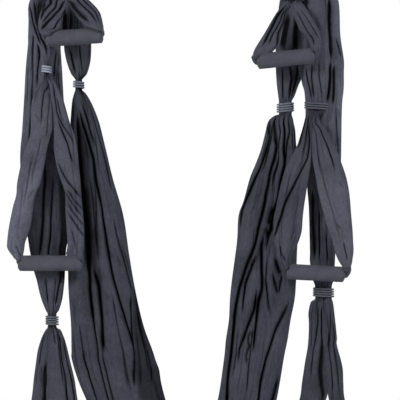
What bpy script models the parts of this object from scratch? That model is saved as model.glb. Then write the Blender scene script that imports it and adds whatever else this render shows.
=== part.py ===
"""Aerial yoga hammock: a gathered cloth seat between two carabiners, with three handle loops a side.

Metres, +Z up, seen from -Y.  The origin is where the left carabiner hangs, inside its crown.
Cloth outlines are (drop, left, right) rows in millimetres: the drop is measured down from the
carabiner's bottom bar, left and right from the plumb line of that carabiner.
"""
import math

import bmesh
import bpy
from mathutils import Vector

MM = 0.001

# Hanging
HANG_SPACING = 0.484
TOUCH_GAP = 0.0003

# Carabiner
BAR_R = 0.005
BODY_HALF_WIDTH = 0.033
BODY_HEIGHT = 0.106
CORNER_R = 0.015
NOSE_DROP = 0.039
HINGE_RISE = 0.0225
GATE_R = 0.0046
GATE_GAP = 0.0006
HINGE_SHOULDER = 0.0060
PIN_R = 0.0016
PIN_CLEARANCE = 0.0003
HINGE_TAB_HALF = 0.0020
HINGE_TAB_CLEARANCE = 0.0004
NOSE_TAB_HALF = 0.0015
NOSE_TAB_LENGTH = 0.0070
NOSE_TAB_IN = 0.0028
NOSE_TAB_OUT = 0.0040
SLOT_CLEARANCE = 0.0004
FORK_ABOVE_TAB = 0.0012
NOTCH_BELOW_TAB = 0.0008
TAB_ROOT = 0.0020
CUT_REACH = 0.0120
THREAD_R = 0.0051
THREAD_ABOVE_PIN = 0.0120
THREAD_BELOW_TIP = 0.0085
COLLAR_R = 0.0064
COLLAR_HEIGHT = 0.0030
SLEEVE_R = 0.0074
SLEEVE_CHAMFER = 0.0012
SLEEVE_BELOW_TAB = 0.0014
FLUTE_START = 0.0030
FLUTE_END = 0.0050
FLUTE_RUNOUT = 0.0015
FLUTE_DEPTH = 0.0004

# Cloth eyes over the bar
EYE_WIDTH = 0.0080
EYE_PITCH = 0.0086
EYE_WALL = 0.0037
EYE_SINK = 0.0012
EYE_TAIL_HALF_DEPTH = 0.0065

# Grips
FOAM_R = 0.0155
FOAM_BORE_R = 0.0108
FOAM_END_ROUND = 0.0040
TUBE_R = 0.0105
TUBE_BORE_R = 0.0090
TUBE_PROUD = 0.0010
ROPE_CLEARANCE = 0.0003

# Cloth passing through and round the grips
BEND_R = 0.0080
BEND_HALF_WIDTH = 0.0060
BEND_CLEARANCE = 0.0020
BEND_RISE = 0.0040
ROPE_INSET = 0.0060

# Wound bands
CORD_R = 0.0020
CORD_PITCH = 0.0047
CORD_SEAT = 0.0008
NECK_MARGIN = 0.0020
TURN_POINTS = 10

# Cloth folds
FOLD_DEPTH = 0.16
RING_STEP = 0.050
SLING_STEP = 0.070
STRAP_SIDES = 8
LOOP_SIDES = 8
SLING_SIDES = 14
EYE_SIDES = 16

# Facets of the turned pieces
TURNED_SIDES = 20
FOAM_SIDES = 22
BAR_SIDES = 12

# Layers, from the plane through both carabiners: (neck_y, loop_y, strap_half_depth, loop_half_depth)
LAYERS = {
    "low": (0.002, 0.002, 0.008, 0.009),
    "middle": (-0.018, -0.030, 0.005, 0.009),
    "upper": (-0.030, -0.042, 0.007, 0.008),
}
SLING_TOP_Y = 0.008
SLING_TOP_HALF_DEPTH = 0.007

CLOTH = ("charcoal_cloth", (0.055, 0.055, 0.070), 0.80, 0.0)
FOAM = ("charcoal_foam", (0.072, 0.073, 0.082), 0.90, 0.0)
CORD = ("grey_cord", (0.200, 0.210, 0.270), 0.55, 0.0)
TUBE = ("clear_tube", (0.500, 0.510, 0.540), 0.35, 0.0)
STEEL = ("zinc_steel", (0.420, 0.430, 0.450), 0.32, 1.0)
SLEEVE = ("black_sleeve", (0.030, 0.030, 0.032), 0.45, 1.0)

BAR_Z = BAR_R - BODY_HEIGHT

# One entry for each handle strap: its eye's place on the bar, its outline, its neck and its loop
# neck: (centre, half_width, half_depth, band_drop, turns)
# left_strand, right_strand: outline rows of the loop's two strands, from the neck to the grip
# grip: left end and right end as (x, drop)
# below: the seat cloth under its band, as (drop, left, right, half_depth)
LEFT = {
    "name": "left",
    "gate_side": -1,
    "low": {
        "eye": -1.5,
        "rows": [
            (24, -24, -8), (59, -46, -6), (119, -64, -4), (239, -70, -4), (315, -76, 0),
            (379, -80, 6), (435, -84, 6), (519, -76, 8), (619, -62, 8), (663, -56, 6),
            (699, -50, 0), (735, -38, -8),
        ],
        "neck": (-20, 9, 8, 760, 4),
        "left_strand": [
            (809, -48, -31), (845, -54, -34), (919, -62, -40), (1019, -79, -49),
            (1079, -98, -66), (1099, -100, -74),
        ],
        "right_strand": [
            (809, -29, 5), (845, -31, 16), (919, -28, 31), (1019, -16, 48),
            (1079, 16, 66), (1099, 36, 66),
        ],
        "grip": [(-79, 1139), (47, 1139)],
    },
    "middle": {
        "eye": -0.5,
        "rows": [
            (24, -12, -3), (49, -30, -14), (119, -62, -46), (149, -66, -50),
            (179, -62, -44), (199, -52, -34), (219, -42, -22),
        ],
        "neck": (-29.5, 5.5, 5.5, 259, 3),
        "left_strand": [
            (299, -46, -30.5), (339, -64, -24.5), (375, -79, -18), (409, -84, -24),
            (459, -88, -34), (515, -92, -52), (559, -104, -53), (599, -108, -72),
        ],
        "right_strand": [
            (299, -29, -18), (339, -23, -10), (375, -16, 2), (409, -10, 12),
            (459, -4, 22), (515, 2, 28), (575, 5, 32), (603, 14, 42),
        ],
        "grip": [(-84, 644.5), (42, 644.5)],
    },
    "upper": {
        "eye": 0.5,
        "rows": [(29, 2, 14), (64, 9, 29)],
        "neck": (22, 8, 8, 101, 3),
        "left_strand": [(131, -14, 15), (145, -36, 8), (159, -44, 0), (172, -48, -18)],
        "right_strand": [(131, 24, 54), (143, 44, 76), (155, 60, 90)],
        "grip": [(-27, 200.5), (83, 193)],
    },
    "sling": {
        "eye": 1.5,
        "rows": [
            (24, 9, 22), (64, 4, 40), (119, 4, 60), (211, 2, 58), (243, 10, 56), (267, 18, 48),
        ],
        "neck": (33, 7, 7, 288, 3),
        "below": [
            (315, 20, 56, 8), (339, 18, 67, 10), (379, 16, 78, 13), (479, 12, 102, 18),
            (549, 12, 122, 20), (629, 12, 134, 22), (699, 12, 145, 24), (769, 18, 161, 27),
            (839, 24, 187, 30),
        ],
    },
}

RIGHT = {
    "name": "right",
    "gate_side": 1,
    "low": {
        "eye": 1.5,
        "rows": [
            (24, 8, 24), (59, 4, 48), (119, 2, 68), (189, 2, 72), (239, 2, 80), (289, 2, 79),
            (339, 2, 76), (449, 4, 74), (519, 4, 68), (619, 8, 64), (643, 11, 63), (675, 17, 60),
        ],
        "neck": (39, 17, 8, 704, 4),
        "left_strand": [
            (745, 16, 41), (769, 11, 45), (819, 6, 45), (859, -2, 45), (919, -8, 42),
            (999, -32, 4), (1029, -42, -16),
        ],
        "right_strand": [
            (745, 42, 60), (769, 46, 62), (819, 46.3, 67), (859, 47, 78), (919, 50, 83),
            (999, 70, 102), (1029, 88, 112),
        ],
        "grip": [(-24, 1069), (96, 1069)],
    },
    "middle": {
        "eye": 0.5,
        "rows": [(24, 0, 12), (49, -3, 20), (119, 4, 38), (249, -3, 42), (305, 2, 43)],
        "neck": (23, 19, 6, 332, 3),
        "left_strand": [
            (379, -4, 19), (399, -12, 16), (429, -24, 10), (459, -38, 8), (519, -44, 3),
            (579, -50, -4), (619, -54, -18),
        ],
        "right_strand": [
            (379, 20.5, 52), (399, 18, 60), (419, 14, 66), (459, 14, 78), (499, 19, 86),
            (539, 25, 90), (579, 32, 93), (619, 48, 95),
        ],
        "grip": [(-34, 661), (78, 667)],
    },
    "upper": {
        "eye": -0.5,
        "rows": [(29, -14, 0), (64, -34, -4), (92, -44, -8)],
        "neck": (-26, 20, 8, 116, 3),
        "left_strand": [(149, -56, -37), (169, -68, -42), (199, -90, -60)],
        "right_strand": [(153, -17, 12), (175, -8, 26), (195, 3, 32)],
        "grip": [(-94, 245), (16, 233)],
    },
    "sling": {
        "eye": -1.5,
        "rows": [
            (24, -20, -8), (64, -32, -4), (119, -48, -2), (199, -54, -8), (255, -56, -6),
            (289, -54, -10), (312, -51, -20),
        ],
        "neck": (-37, 13, 9, 334, 4),
        "below": [
            (357, -68, -24, 9), (375, -76, -20, 10), (415, -84, -14, 13), (443, -94, -4, 15),
            (475, -108, -2, 18), (519, -122, 0, 20), (559, -128, -2, 20), (603, -134, -12, 21),
            (679, -144, -15, 23), (719, -148, -18, 24), (799, -152, -32, 28), (839, -158, -40, 30),
        ],
    },
}

# The seat's underside: (distance from its hanger, drop, half_width, half_depth, tilt of the section)
SEAT_LEFT = [(130, 919, 75, 36, 24), (162, 1010, 68, 42, 21)]
SEAT_RIGHT = [(-136, 1015, 57, 42, 166), (-113, 919, 58, 36, 168)]
SEAT_OFFSET = 0.018
SEAT_R = 0.070
SEAT_BOTTOM_DROP = 1.153
SEAT_ARC = [(28, 62), (50, 58), (90, 54), (130, 55), (154, 57)]
SEAT_HALF_DEPTH = 0.045
SEAT_Y = 0.020
SEAT_SIDE_Y = 0.017
SEAT_TOP_Y = 0.015

MATERIALS = {}


def material(spec):
    """One Principled material for each finish, made once."""
    name, colour, roughness, metallic = spec
    if name not in MATERIALS:
        made = bpy.data.materials.new(name)
        made.use_nodes = True
        shader = made.node_tree.nodes["Principled BSDF"]
        shader.inputs["Base Color"].default_value = (*colour, 1.0)
        shader.inputs["Roughness"].default_value = roughness
        shader.inputs["Metallic"].default_value = metallic
        made.diffuse_color = (*colour, 1.0)
        MATERIALS[name] = made
    return MATERIALS[name]


def add_object(name, data, spec, smooth_angle=40):
    made = bpy.data.objects.new(name, data)
    bpy.context.scene.collection.objects.link(made)
    data.materials.append(material(spec))
    if isinstance(data, bpy.types.Mesh):
        data.shade_smooth()
        data.set_sharp_from_angle(angle=math.radians(smooth_angle))
    return made


def mesh_from_bmesh(name, bm):
    bmesh.ops.recalc_face_normals(bm, faces=bm.faces)
    mesh = bpy.data.meshes.new(name)
    bm.to_mesh(mesh)
    bm.free()
    return mesh


def as_guide(made):
    made.hide_render = True
    made.display_type = "WIRE"
    return made


def boolean(made, other, operation):
    """Union or cut with a guide object, which the part itself doesn't keep."""
    modifier = made.modifiers.new(other.name, "BOOLEAN")
    modifier.operation = operation
    modifier.object = as_guide(other)
    return modifier


def bridge_rings(bm, rings, closed=False):
    """Quads between rings of the same number of vertices; ends are capped unless closed."""
    count = len(rings[0])
    pairs = list(zip(rings, rings[1:]))
    if closed:
        pairs.append((rings[-1], rings[0]))
    for first, second in pairs:
        for i in range(count):
            j = (i + 1) % count
            bm.faces.new((first[i], first[j], second[j], second[i]))
    if not closed:
        bm.faces.new(list(reversed(rings[0])))
        bm.faces.new(rings[-1])


def lathe(name, profile, segments, axis, spec, place=Vector((0, 0, 0))):
    """Turn an (along, radius) outline about an axis; the outline closes on itself."""
    axis = Vector(axis).normalized()
    side = axis.orthogonal().normalized()
    up = axis.cross(side)
    bm = bmesh.new()
    rings = []
    for along, radius in profile:
        ring = []
        for i in range(segments):
            turn = 2 * math.pi * i / segments
            out = side * math.cos(turn) + up * math.sin(turn)
            ring.append(bm.verts.new(axis * along + out * radius))
        rings.append(ring)
    bridge_rings(bm, rings, closed=True)
    made = add_object(name, mesh_from_bmesh(name, bm), spec)
    made.location = place
    return made


def cylinder(name, radius, start, end, segments=TURNED_SIDES, spec=STEEL):
    """A plain closed cylinder between two points."""
    start = Vector(start)
    axis = Vector(end) - start
    side = axis.orthogonal().normalized()
    up = axis.normalized().cross(side)
    bm = bmesh.new()
    rings = []
    for base in (start, start + axis):
        ring = []
        for i in range(segments):
            turn = 2 * math.pi * i / segments
            ring.append(bm.verts.new(base + radius * (side * math.cos(turn) + up * math.sin(turn))))
        rings.append(ring)
    bridge_rings(bm, rings)
    return add_object(name, mesh_from_bmesh(name, bm), spec)


def box(name, low, high, spec=STEEL):
    bm = bmesh.new()
    bmesh.ops.create_cube(bm, size=1.0)
    low = Vector(low)
    high = Vector(high)
    for vert in bm.verts:
        vert.co = Vector(
            low[i] + (high[i] - low[i]) * (vert.co[i] + 0.5) for i in range(3)
        )
    return add_object(name, mesh_from_bmesh(name, bm), spec)


def catmull(p0, p1, p2, p3, t):
    """A smooth curve through p1 and p2, for each number of a station."""
    return tuple(
        0.5 * (2 * b + (c - a) * t + (2 * a - 5 * b + 4 * c - d) * t * t
               + (3 * b - a - 3 * c + d) * t ** 3)
        for a, b, c, d in zip(p0, p1, p2, p3)
    )


def smooth_stations(stations, step):
    """Stations close enough together, on a smooth curve through the given ones."""
    dense = []
    last = len(stations) - 1
    for i in range(last):
        around = [stations[max(0, min(last, i + k))] for k in (-1, 0, 1, 2)]
        length = (Vector(around[2][:3]) - Vector(around[1][:3])).length
        count = max(1, math.ceil(length / step))
        dense += [catmull(*around, k / count) for k in range(count)]
    return dense + [stations[-1]]


def cloth_mesh(name, stations, sides, step):
    """Gathered cloth swept along its stations: (x, y, z, half_width, half_depth, tilt).

    A section is an ellipse whose every second point is drawn in, which leaves the main folds.
    """
    bm = bmesh.new()
    rings = []
    for x, y, z, half_width, half_depth, tilt in smooth_stations(stations, step):
        across = Vector((math.cos(tilt), 0, math.sin(tilt)))
        ring = []
        for i in range(sides):
            turn = 2 * math.pi * i / sides
            reach = 1 - FOLD_DEPTH * (i % 2)
            ring.append(bm.verts.new(
                Vector((x, y, z))
                + across * half_width * reach * math.cos(turn)
                + Vector((0, half_depth * reach * math.sin(turn), 0))
            ))
        rings.append(ring)
    bridge_rings(bm, rings)
    return mesh_from_bmesh(name, bm)


def row_station(side_x, row, y, half_depth):
    """A level section from a (drop, left, right) row in millimetres."""
    drop, left, right = row[:3]
    centre = side_x + (left + right) / 2 * MM
    return (centre, y, BAR_Z - drop * MM, (right - left) / 2 * MM, half_depth, 0.0)


def neck_half_height(turns):
    return turns * CORD_PITCH / 2 + CORD_R + NECK_MARGIN


def neck_stations(side_x, neck, y):
    """The three sections of a neck: above its band, at it and below it."""
    centre, half_width, half_depth, drop, turns = neck
    reach = neck_half_height(turns)
    return [
        (side_x + centre * MM, y, BAR_Z - drop * MM + shift, half_width * MM, half_depth * MM, 0.0)
        for shift in (reach, 0.0, -reach)
    ]


def eye_start(side_x, strap):
    """The top section of a strap, inside the lower wall of its eye."""
    drop = BAR_R + TOUCH_GAP + EYE_SINK
    x = side_x + strap["eye"] * EYE_PITCH
    return (x, 0.0, BAR_Z - drop, EYE_WIDTH / 2, EYE_TAIL_HALF_DEPTH, 0.0)


def add_eye(strap_object, name, side_x, strap):
    """The sewn eye that rides on the bar, joined to the strap."""
    inner = BAR_R + TOUCH_GAP
    outer = inner + EYE_WALL
    half = EYE_WIDTH / 2
    profile = [(-half, inner), (-half, outer), (half, outer), (half, inner)]
    place = Vector((side_x + strap["eye"] * EYE_PITCH, 0, BAR_Z))
    ring = lathe(name + "_eye_guide", profile, EYE_SIDES, (1, 0, 0), CLOTH, place)
    boolean(strap_object, ring, "UNION")


def blend_depth(rows, start, end):
    """Depths that pass smoothly from the eye's plane to the layer's plane, over the first rows."""
    count = len(rows)
    return [start + (end - start) * min(1.0, (k + 1) / min(2, count)) for k in range(count)]


def build_strap(side, key, layer_y, half_depth, side_x):
    """A handle strap from its eye down to its neck."""
    strap = side[key]
    name = f"{key}_strap_{side['name']}"
    stations = [eye_start(side_x, strap)]
    for row, y in zip(strap["rows"], blend_depth(strap["rows"], 0.0, layer_y)):
        stations.append(row_station(side_x, row, y, half_depth))
    stations += neck_stations(side_x, strap["neck"], layer_y)
    made = add_object(name, cloth_mesh(name, stations, STRAP_SIDES, RING_STEP), CLOTH)
    add_eye(made, name, side_x, strap)
    return made


def hinge_point(strap, side_x, layer_y):
    """Where a loop swings, just under its neck."""
    centre, _, half_depth, drop, turns = strap["neck"]
    below = neck_half_height(turns) + TOUCH_GAP + half_depth * MM
    return Vector((side_x + centre * MM, layer_y, BAR_Z - drop * MM - below))


def rounded_top(x, y, z, half_width, half_depth):
    """Sections of a strand's top end, round about the line the loop swings on."""
    return [
        (x, y, z + half_depth * math.sin(a), half_width, half_depth * math.cos(a), 0.0)
        for a in (math.radians(75), math.radians(38), 0.0)
    ]


def grip_bend(end, outward, up, y, tilts):
    """The cloth from above a grip's end, round and into its bore."""
    centre = end + outward * BEND_CLEARANCE + up * BEND_R
    stations = []
    above = centre + outward * BEND_R + up * (FOAM_R - BEND_R + BEND_RISE)
    start, finish = tilts
    stations.append((above.x, y, above.z, BEND_HALF_WIDTH, BEND_R, start))
    for share in (0.0, 0.35, 0.7, 1.0):
        turn = share * math.pi / 2
        at = centre + outward * BEND_R * math.cos(turn) - up * BEND_R * math.sin(turn)
        tilt = start + (finish - start) * share
        stations.append((at.x, y, at.z, BEND_HALF_WIDTH, BEND_R, tilt))
    return stations


def grip_frame(strap, side_x):
    """A grip's two ends, its direction to the right and its upward direction."""
    ends = [Vector((side_x + x * MM, 0, BAR_Z - drop * MM)) for x, drop in strap["grip"]]
    along = (ends[1] - ends[0]).normalized()
    return ends[0], ends[1], along, Vector((-along.z, 0, along.x))


def build_loop(side, key, tail_y, loop_y, half_depth, side_x):
    """One handle loop: down its left strand, through the grip and up its right strand."""
    strap = side[key]
    name = f"{key}_loop_{side['name']}"
    hinge = hinge_point(strap, side_x, tail_y)
    centre, neck_half, neck_depth = (value * MM for value in strap["neck"][:3])
    half = (neck_half - TOUCH_GAP) / 2
    left_end, right_end, along, up = grip_frame(strap, side_x)
    level = math.atan2(along.z, along.x) + math.pi / 2

    def strand(rows, sign):
        top = rounded_top(hinge.x + sign * (half + TOUCH_GAP), tail_y, hinge.z, half, neck_depth)
        steps = len(rows)
        body = []
        for k, row in enumerate(rows):
            ease = min(1.0, (k + 1) / min(4, steps))
            y = tail_y + (loop_y - tail_y) * ease
            depth = neck_depth + (half_depth - neck_depth) * ease
            body.append(row_station(side_x, row, y, depth))
        return top + body

    rope = TUBE_BORE_R - ROPE_CLEARANCE
    stations = strand(strap["left_strand"], -1)
    stations += grip_bend(left_end, -along, up, loop_y, (0.0, level))
    inset = along * ROPE_INSET
    for at in (left_end + inset, (left_end + right_end) / 2, right_end - inset):
        stations.append((at.x, loop_y, at.z, rope, rope, level))
    back = grip_bend(right_end, along, up, loop_y, (math.pi, level))
    stations += list(reversed(back))
    for x, y, z, half_width, depth, tilt in reversed(strand(strap["right_strand"], 1)):
        stations.append((x, y, z, half_width, depth, math.pi - tilt))
    mesh = cloth_mesh(name, stations, LOOP_SIDES, RING_STEP)
    made = add_object(name, mesh, CLOTH)
    move_origin(made, hinge)
    return made


def build_grip(side, key, loop_y, side_x):
    """A foam sleeve on a plastic tube; both turn together on the cloth."""
    left_end, right_end, along, _ = grip_frame(side[key], side_x)
    length = (right_end - left_end).length
    middle = (left_end + right_end) / 2 + Vector((0, loop_y, 0))
    half = length / 2
    rounding = FOAM_END_ROUND
    profile = [(-half, FOAM_BORE_R)]
    for turn in (0, 45, 90):
        a = math.radians(turn)
        profile.append((-half + rounding * (1 - math.cos(a)), FOAM_R - rounding * (1 - math.sin(a))))
    profile += [(-x, radius) for x, radius in reversed(profile)]
    foam = lathe(f"foam_grip_{key}_{side['name']}", profile, FOAM_SIDES, along, FOAM, middle)
    reach = half + TUBE_PROUD
    tube = [(-reach, TUBE_BORE_R), (-reach, TUBE_R), (reach, TUBE_R), (reach, TUBE_BORE_R)]
    core = lathe(f"grip_tube_{key}_{side['name']}", tube, TURNED_SIDES, along, TUBE, middle)
    return [foam, core]


def winding_points(neck, y, side_x):
    """One unbroken cord wound round a neck, its ends straight for a cord's diameter."""
    centre, half_width, half_depth, drop, turns = neck
    seat = CORD_SEAT + CORD_R
    a = half_width * MM + seat
    b = half_depth * MM + seat
    top = BAR_Z - drop * MM + turns * CORD_PITCH / 2
    points = []
    for i in range(turns * TURN_POINTS + 1):
        turn = 2 * math.pi * i / TURN_POINTS - math.pi * 0.75
        points.append(Vector((
            side_x + centre * MM + a * math.cos(turn),
            y + b * math.sin(turn),
            top - CORD_PITCH * i / TURN_POINTS,
        )))
    first = points[0] + (points[0] - points[1]).normalized() * 2 * CORD_R
    last = points[-1] + (points[-1] - points[-2]).normalized() * 2 * CORD_R
    return [first] + points + [last]


def least_gap(points):
    """The least space between turns of a winding, measured on its points."""
    least = 1.0
    for i in range(len(points)):
        for j in range(i + TURN_POINTS // 2, len(points)):
            least = min(least, (points[i] - points[j]).length - 2 * CORD_R)
    return least


def build_band(name, neck, y, side_x):
    points = winding_points(neck, y, side_x)
    print(f"{name}: least gap to itself {least_gap(points) * 1000:.2f} mm")
    curve = bpy.data.curves.new(name, "CURVE")
    curve.dimensions = "3D"
    curve.bevel_depth = CORD_R
    curve.bevel_resolution = 1
    curve.use_fill_caps = True
    spline = curve.splines.new("POLY")
    spline.points.add(len(points) - 1)
    for point, at in zip(spline.points, points):
        point.co = (*at, 1.0)
    return add_object(name, curve, CORD)


def seat_stations():
    """The seat from the left side's fan, round the bottom, to the right side's."""
    stations = []
    for x, drop, half_width, half_depth, tilt in SEAT_LEFT:
        stations.append((x * MM, SEAT_SIDE_Y, BAR_Z - drop * MM, half_width * MM,
                         half_depth * MM, math.radians(tilt)))
    middle = HANG_SPACING / 2 + SEAT_OFFSET
    arc_drop = SEAT_BOTTOM_DROP - SEAT_R
    for tilt, half_width in SEAT_ARC:
        a = math.radians(tilt)
        stations.append((middle - SEAT_R * math.cos(a), SEAT_Y,
                         BAR_Z - arc_drop - SEAT_R * math.sin(a),
                         half_width * MM, SEAT_HALF_DEPTH, a))
    for x, drop, half_width, half_depth, tilt in SEAT_RIGHT:
        stations.append((HANG_SPACING + x * MM, SEAT_SIDE_Y, BAR_Z - drop * MM, half_width * MM,
                         half_depth * MM, math.radians(tilt)))
    return stations


def sling_side(side, side_x):
    """One side of the seat cloth, from its eye down past its band."""
    strap = side["sling"]
    stations = [eye_start(side_x, strap)]
    for row, y in zip(strap["rows"], blend_depth(strap["rows"], 0.0, SLING_TOP_Y)):
        stations.append(row_station(side_x, row, y, SLING_TOP_HALF_DEPTH))
    stations += neck_stations(side_x, strap["neck"], SLING_TOP_Y)
    last_drop = strap["below"][-1][0]
    for row in strap["below"]:
        share = (row[0] - strap["neck"][3]) / (last_drop - strap["neck"][3])
        y = SLING_TOP_Y + (SEAT_TOP_Y - SLING_TOP_Y) * share
        stations.append(row_station(side_x, row, y, row[3] * MM))
    return stations


def build_sling():
    """The seat: one cloth from the left carabiner, down, round and up to the right one."""
    left = sling_side(LEFT, 0.0)
    right = [
        (x, y, z, half_width, half_depth, math.pi - tilt)
        for x, y, z, half_width, half_depth, tilt in reversed(sling_side(RIGHT, HANG_SPACING))
    ]
    mesh = cloth_mesh("seat_sling", left + seat_stations() + right, SLING_SIDES, SLING_STEP)
    made = add_object("seat_sling", mesh, CLOTH)
    add_eye(made, "seat_sling_left", 0.0, LEFT["sling"])
    add_eye(made, "seat_sling_right", HANG_SPACING, RIGHT["sling"])
    move_origin(made, Vector((0, 0, BAR_Z)))
    return made


def arc(centre, radius, start, end, count):
    """Points on an arc in the carabiner's plane; angles in degrees from +X towards +Z."""
    points = []
    for i in range(count + 1):
        a = math.radians(start + (end - start) * i / count)
        points.append(Vector((centre[0] + radius * math.cos(a), 0, centre[1] + radius * math.sin(a))))
    return points


def frame_path():
    """The body's centre line from the gate's hinge, under and round to the nose; gate at +X."""
    w = BODY_HALF_WIDTH
    crown = (0, BAR_R - w)
    low = BAR_Z + CORNER_R
    path = [Vector((w, 0, BAR_Z + HINGE_RISE - HINGE_SHOULDER))]
    path += arc((w - CORNER_R, low), CORNER_R, 0, -90, 5)
    path += arc((CORNER_R - w, low), CORNER_R, -90, -180, 5)
    path += arc(crown, w, 180, 0, 14)
    path.append(Vector((w, 0, -NOSE_DROP)))
    return path


def build_carabiner(side, side_x):
    """Body, gate, hinge pin and locking sleeve of one carabiner."""
    name = side["name"]
    sign = side["gate_side"]
    w = BODY_HALF_WIDTH
    bm = bmesh.new()
    path = frame_path()
    rings = []
    for i, point in enumerate(path):
        ahead = path[min(i + 1, len(path) - 1)] - path[max(i - 1, 0)]
        across = Vector((ahead.z, 0, -ahead.x)).normalized()
        ring = []
        for k in range(BAR_SIDES):
            turn = 2 * math.pi * (k + 0.5) / BAR_SIDES
            offset = across * math.cos(turn) + Vector((0, math.sin(turn), 0))
            ring.append(bm.verts.new(point + offset * BAR_R))
        rings.append(ring)
    bridge_rings(bm, rings)
    frame = add_object(f"carabiner_frame_{name}", mesh_from_bmesh("frame", bm), STEEL)

    pin_z = BAR_Z + HINGE_RISE
    tab_round = GATE_R - HINGE_TAB_CLEARANCE
    lug = box(f"hinge_lug_guide_{name}",
              (w - tab_round, -HINGE_TAB_HALF, pin_z - HINGE_SHOULDER - TAB_ROOT),
              (w + tab_round, HINGE_TAB_HALF, pin_z))
    disc = cylinder(f"hinge_disc_guide_{name}", tab_round, (w, -HINGE_TAB_HALF, pin_z),
                    (w, HINGE_TAB_HALF, pin_z))
    tab_low = -NOSE_DROP - NOSE_TAB_LENGTH
    nose = box(f"nose_tab_guide_{name}", (w - NOSE_TAB_IN, -NOSE_TAB_HALF, tab_low),
               (w + NOSE_TAB_OUT, NOSE_TAB_HALF, -NOSE_DROP + TAB_ROOT))
    hole = cylinder(f"hinge_hole_guide_{name}", PIN_R + PIN_CLEARANCE,
                    (w, -CUT_REACH, pin_z), (w, CUT_REACH, pin_z), 16)
    for guide in (lug, disc, nose):
        boolean(frame, guide, "UNION")
    boolean(frame, hole, "DIFFERENCE")

    top = -NOSE_DROP - GATE_GAP
    thread_high = top - THREAD_BELOW_TIP
    collar_top = pin_z + THREAD_ABOVE_PIN
    collar_low = collar_top - COLLAR_HEIGHT
    profile = [
        (pin_z - GATE_R, GATE_R), (collar_low, GATE_R), (collar_low, COLLAR_R),
        (collar_top, COLLAR_R), (collar_top, THREAD_R), (thread_high, THREAD_R),
        (thread_high, GATE_R), (top, GATE_R),
    ]
    gate = solid_turned(f"gate_{name}", profile, STEEL)
    slot_half = HINGE_TAB_HALF + SLOT_CLEARANCE
    fork = box(f"fork_guide_{name}", (-CUT_REACH, -slot_half, pin_z - CUT_REACH),
               (CUT_REACH, slot_half, pin_z + tab_round + FORK_ABOVE_TAB))
    notch_half = NOSE_TAB_HALF + SLOT_CLEARANCE
    notch = box(f"notch_guide_{name}",
                (-NOSE_TAB_IN - SLOT_CLEARANCE, -notch_half, tab_low - NOTCH_BELOW_TAB),
                (CUT_REACH, notch_half, top + CUT_REACH))
    gate_hole = cylinder(f"gate_hole_guide_{name}", PIN_R + PIN_CLEARANCE,
                         (0, -CUT_REACH, pin_z), (0, CUT_REACH, pin_z), 16)
    heel = heel_cutter(f"heel_guide_{name}", pin_z)
    for guide in (fork, notch, gate_hole, heel):
        guide.location.x = w
        boolean(gate, guide, "DIFFERENCE")
    gate.location.x = w

    pin = cylinder(f"gate_pin_{name}", PIN_R, (w, -GATE_R, pin_z), (w, GATE_R, pin_z), 16)
    sleeve = fluted_sleeve(f"locking_sleeve_{name}", collar_top + TOUCH_GAP,
                           tab_low - SLEEVE_BELOW_TAB)
    sleeve.location.x = w

    for piece in (gate, sleeve):
        move_origin(piece, Vector((0, 0, pin_z)))
    pieces = [frame, gate, pin, sleeve, lug, disc, nose, hole, fork, notch, gate_hole, heel]
    turn = 0.0 if sign > 0 else math.pi
    for piece in pieces:
        piece.rotation_euler.z = turn
        piece.location.x = side_x + sign * piece.location.x
    carry(frame, [pin, gate])
    carry(gate, [sleeve])


def solid_turned(name, profile, spec):
    """A closed turned solid about Z from a (z, radius) outline, bottom to top."""
    bm = bmesh.new()
    rings = []
    for z, radius in profile:
        rings.append([
            bm.verts.new((radius * math.cos(2 * math.pi * i / TURNED_SIDES),
                          radius * math.sin(2 * math.pi * i / TURNED_SIDES), z))
            for i in range(TURNED_SIDES)
        ])
    bridge_rings(bm, rings)
    return add_object(name, mesh_from_bmesh(name, bm), spec)


def heel_cutter(name, pin_z):
    """What is cut away below the hinge pin to round the gate's heel about it."""
    bm = bmesh.new()
    outline = [Vector((-CUT_REACH, 0, pin_z))]
    for point in arc((0, pin_z), GATE_R, 180, 360, 10):
        outline.append(point)
    outline += [Vector((CUT_REACH, 0, pin_z)), Vector((CUT_REACH, 0, pin_z - CUT_REACH)),
                Vector((-CUT_REACH, 0, pin_z - CUT_REACH))]
    front = [bm.verts.new(point + Vector((0, -CUT_REACH, 0))) for point in outline]
    back = [bm.verts.new(point + Vector((0, CUT_REACH, 0))) for point in outline]
    bridge_rings(bm, [front, back])
    return add_object(name, mesh_from_bmesh(name, bm), STEEL)


def fluted_sleeve(name, low, high):
    """The locking sleeve: a threaded ring with flutes for the fingers."""
    bore = THREAD_R + TOUCH_GAP
    rim = SLEEVE_R - SLEEVE_CHAMFER
    rows = [
        (low, bore, 0.0), (low, rim, 0.0), (low + SLEEVE_CHAMFER, SLEEVE_R, 0.0),
        (low + FLUTE_START, SLEEVE_R, 1.0), (high - FLUTE_END, SLEEVE_R, 1.0),
        (high - FLUTE_END + FLUTE_RUNOUT, SLEEVE_R, 0.0), (high, rim, 0.0), (high, bore, 0.0),
    ]
    bm = bmesh.new()
    rings = []
    for z, radius, fluted in rows:
        ring = []
        for i in range(TURNED_SIDES):
            turn = 2 * math.pi * i / TURNED_SIDES
            r = radius - fluted * FLUTE_DEPTH * (i % 2)
            ring.append(bm.verts.new((r * math.cos(turn), r * math.sin(turn), z)))
        rings.append(ring)
    bridge_rings(bm, rings, closed=True)
    return add_object(name, mesh_from_bmesh(name, bm), SLEEVE)


def move_origin(made, shift):
    """Move an object's origin by a shift and leave its mesh where it is."""
    for vert in made.data.vertices:
        vert.co -= shift
    made.location += shift


def carry(parent, children):
    """Parent pieces to what carries them, without moving them."""
    bpy.context.view_layer.update()
    for child in children:
        child.parent = parent
        child.matrix_parent_inverse = parent.matrix_world.inverted()


def remove_everything():
    for old in list(bpy.data.objects):
        bpy.data.objects.remove(old, do_unlink=True)


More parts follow.
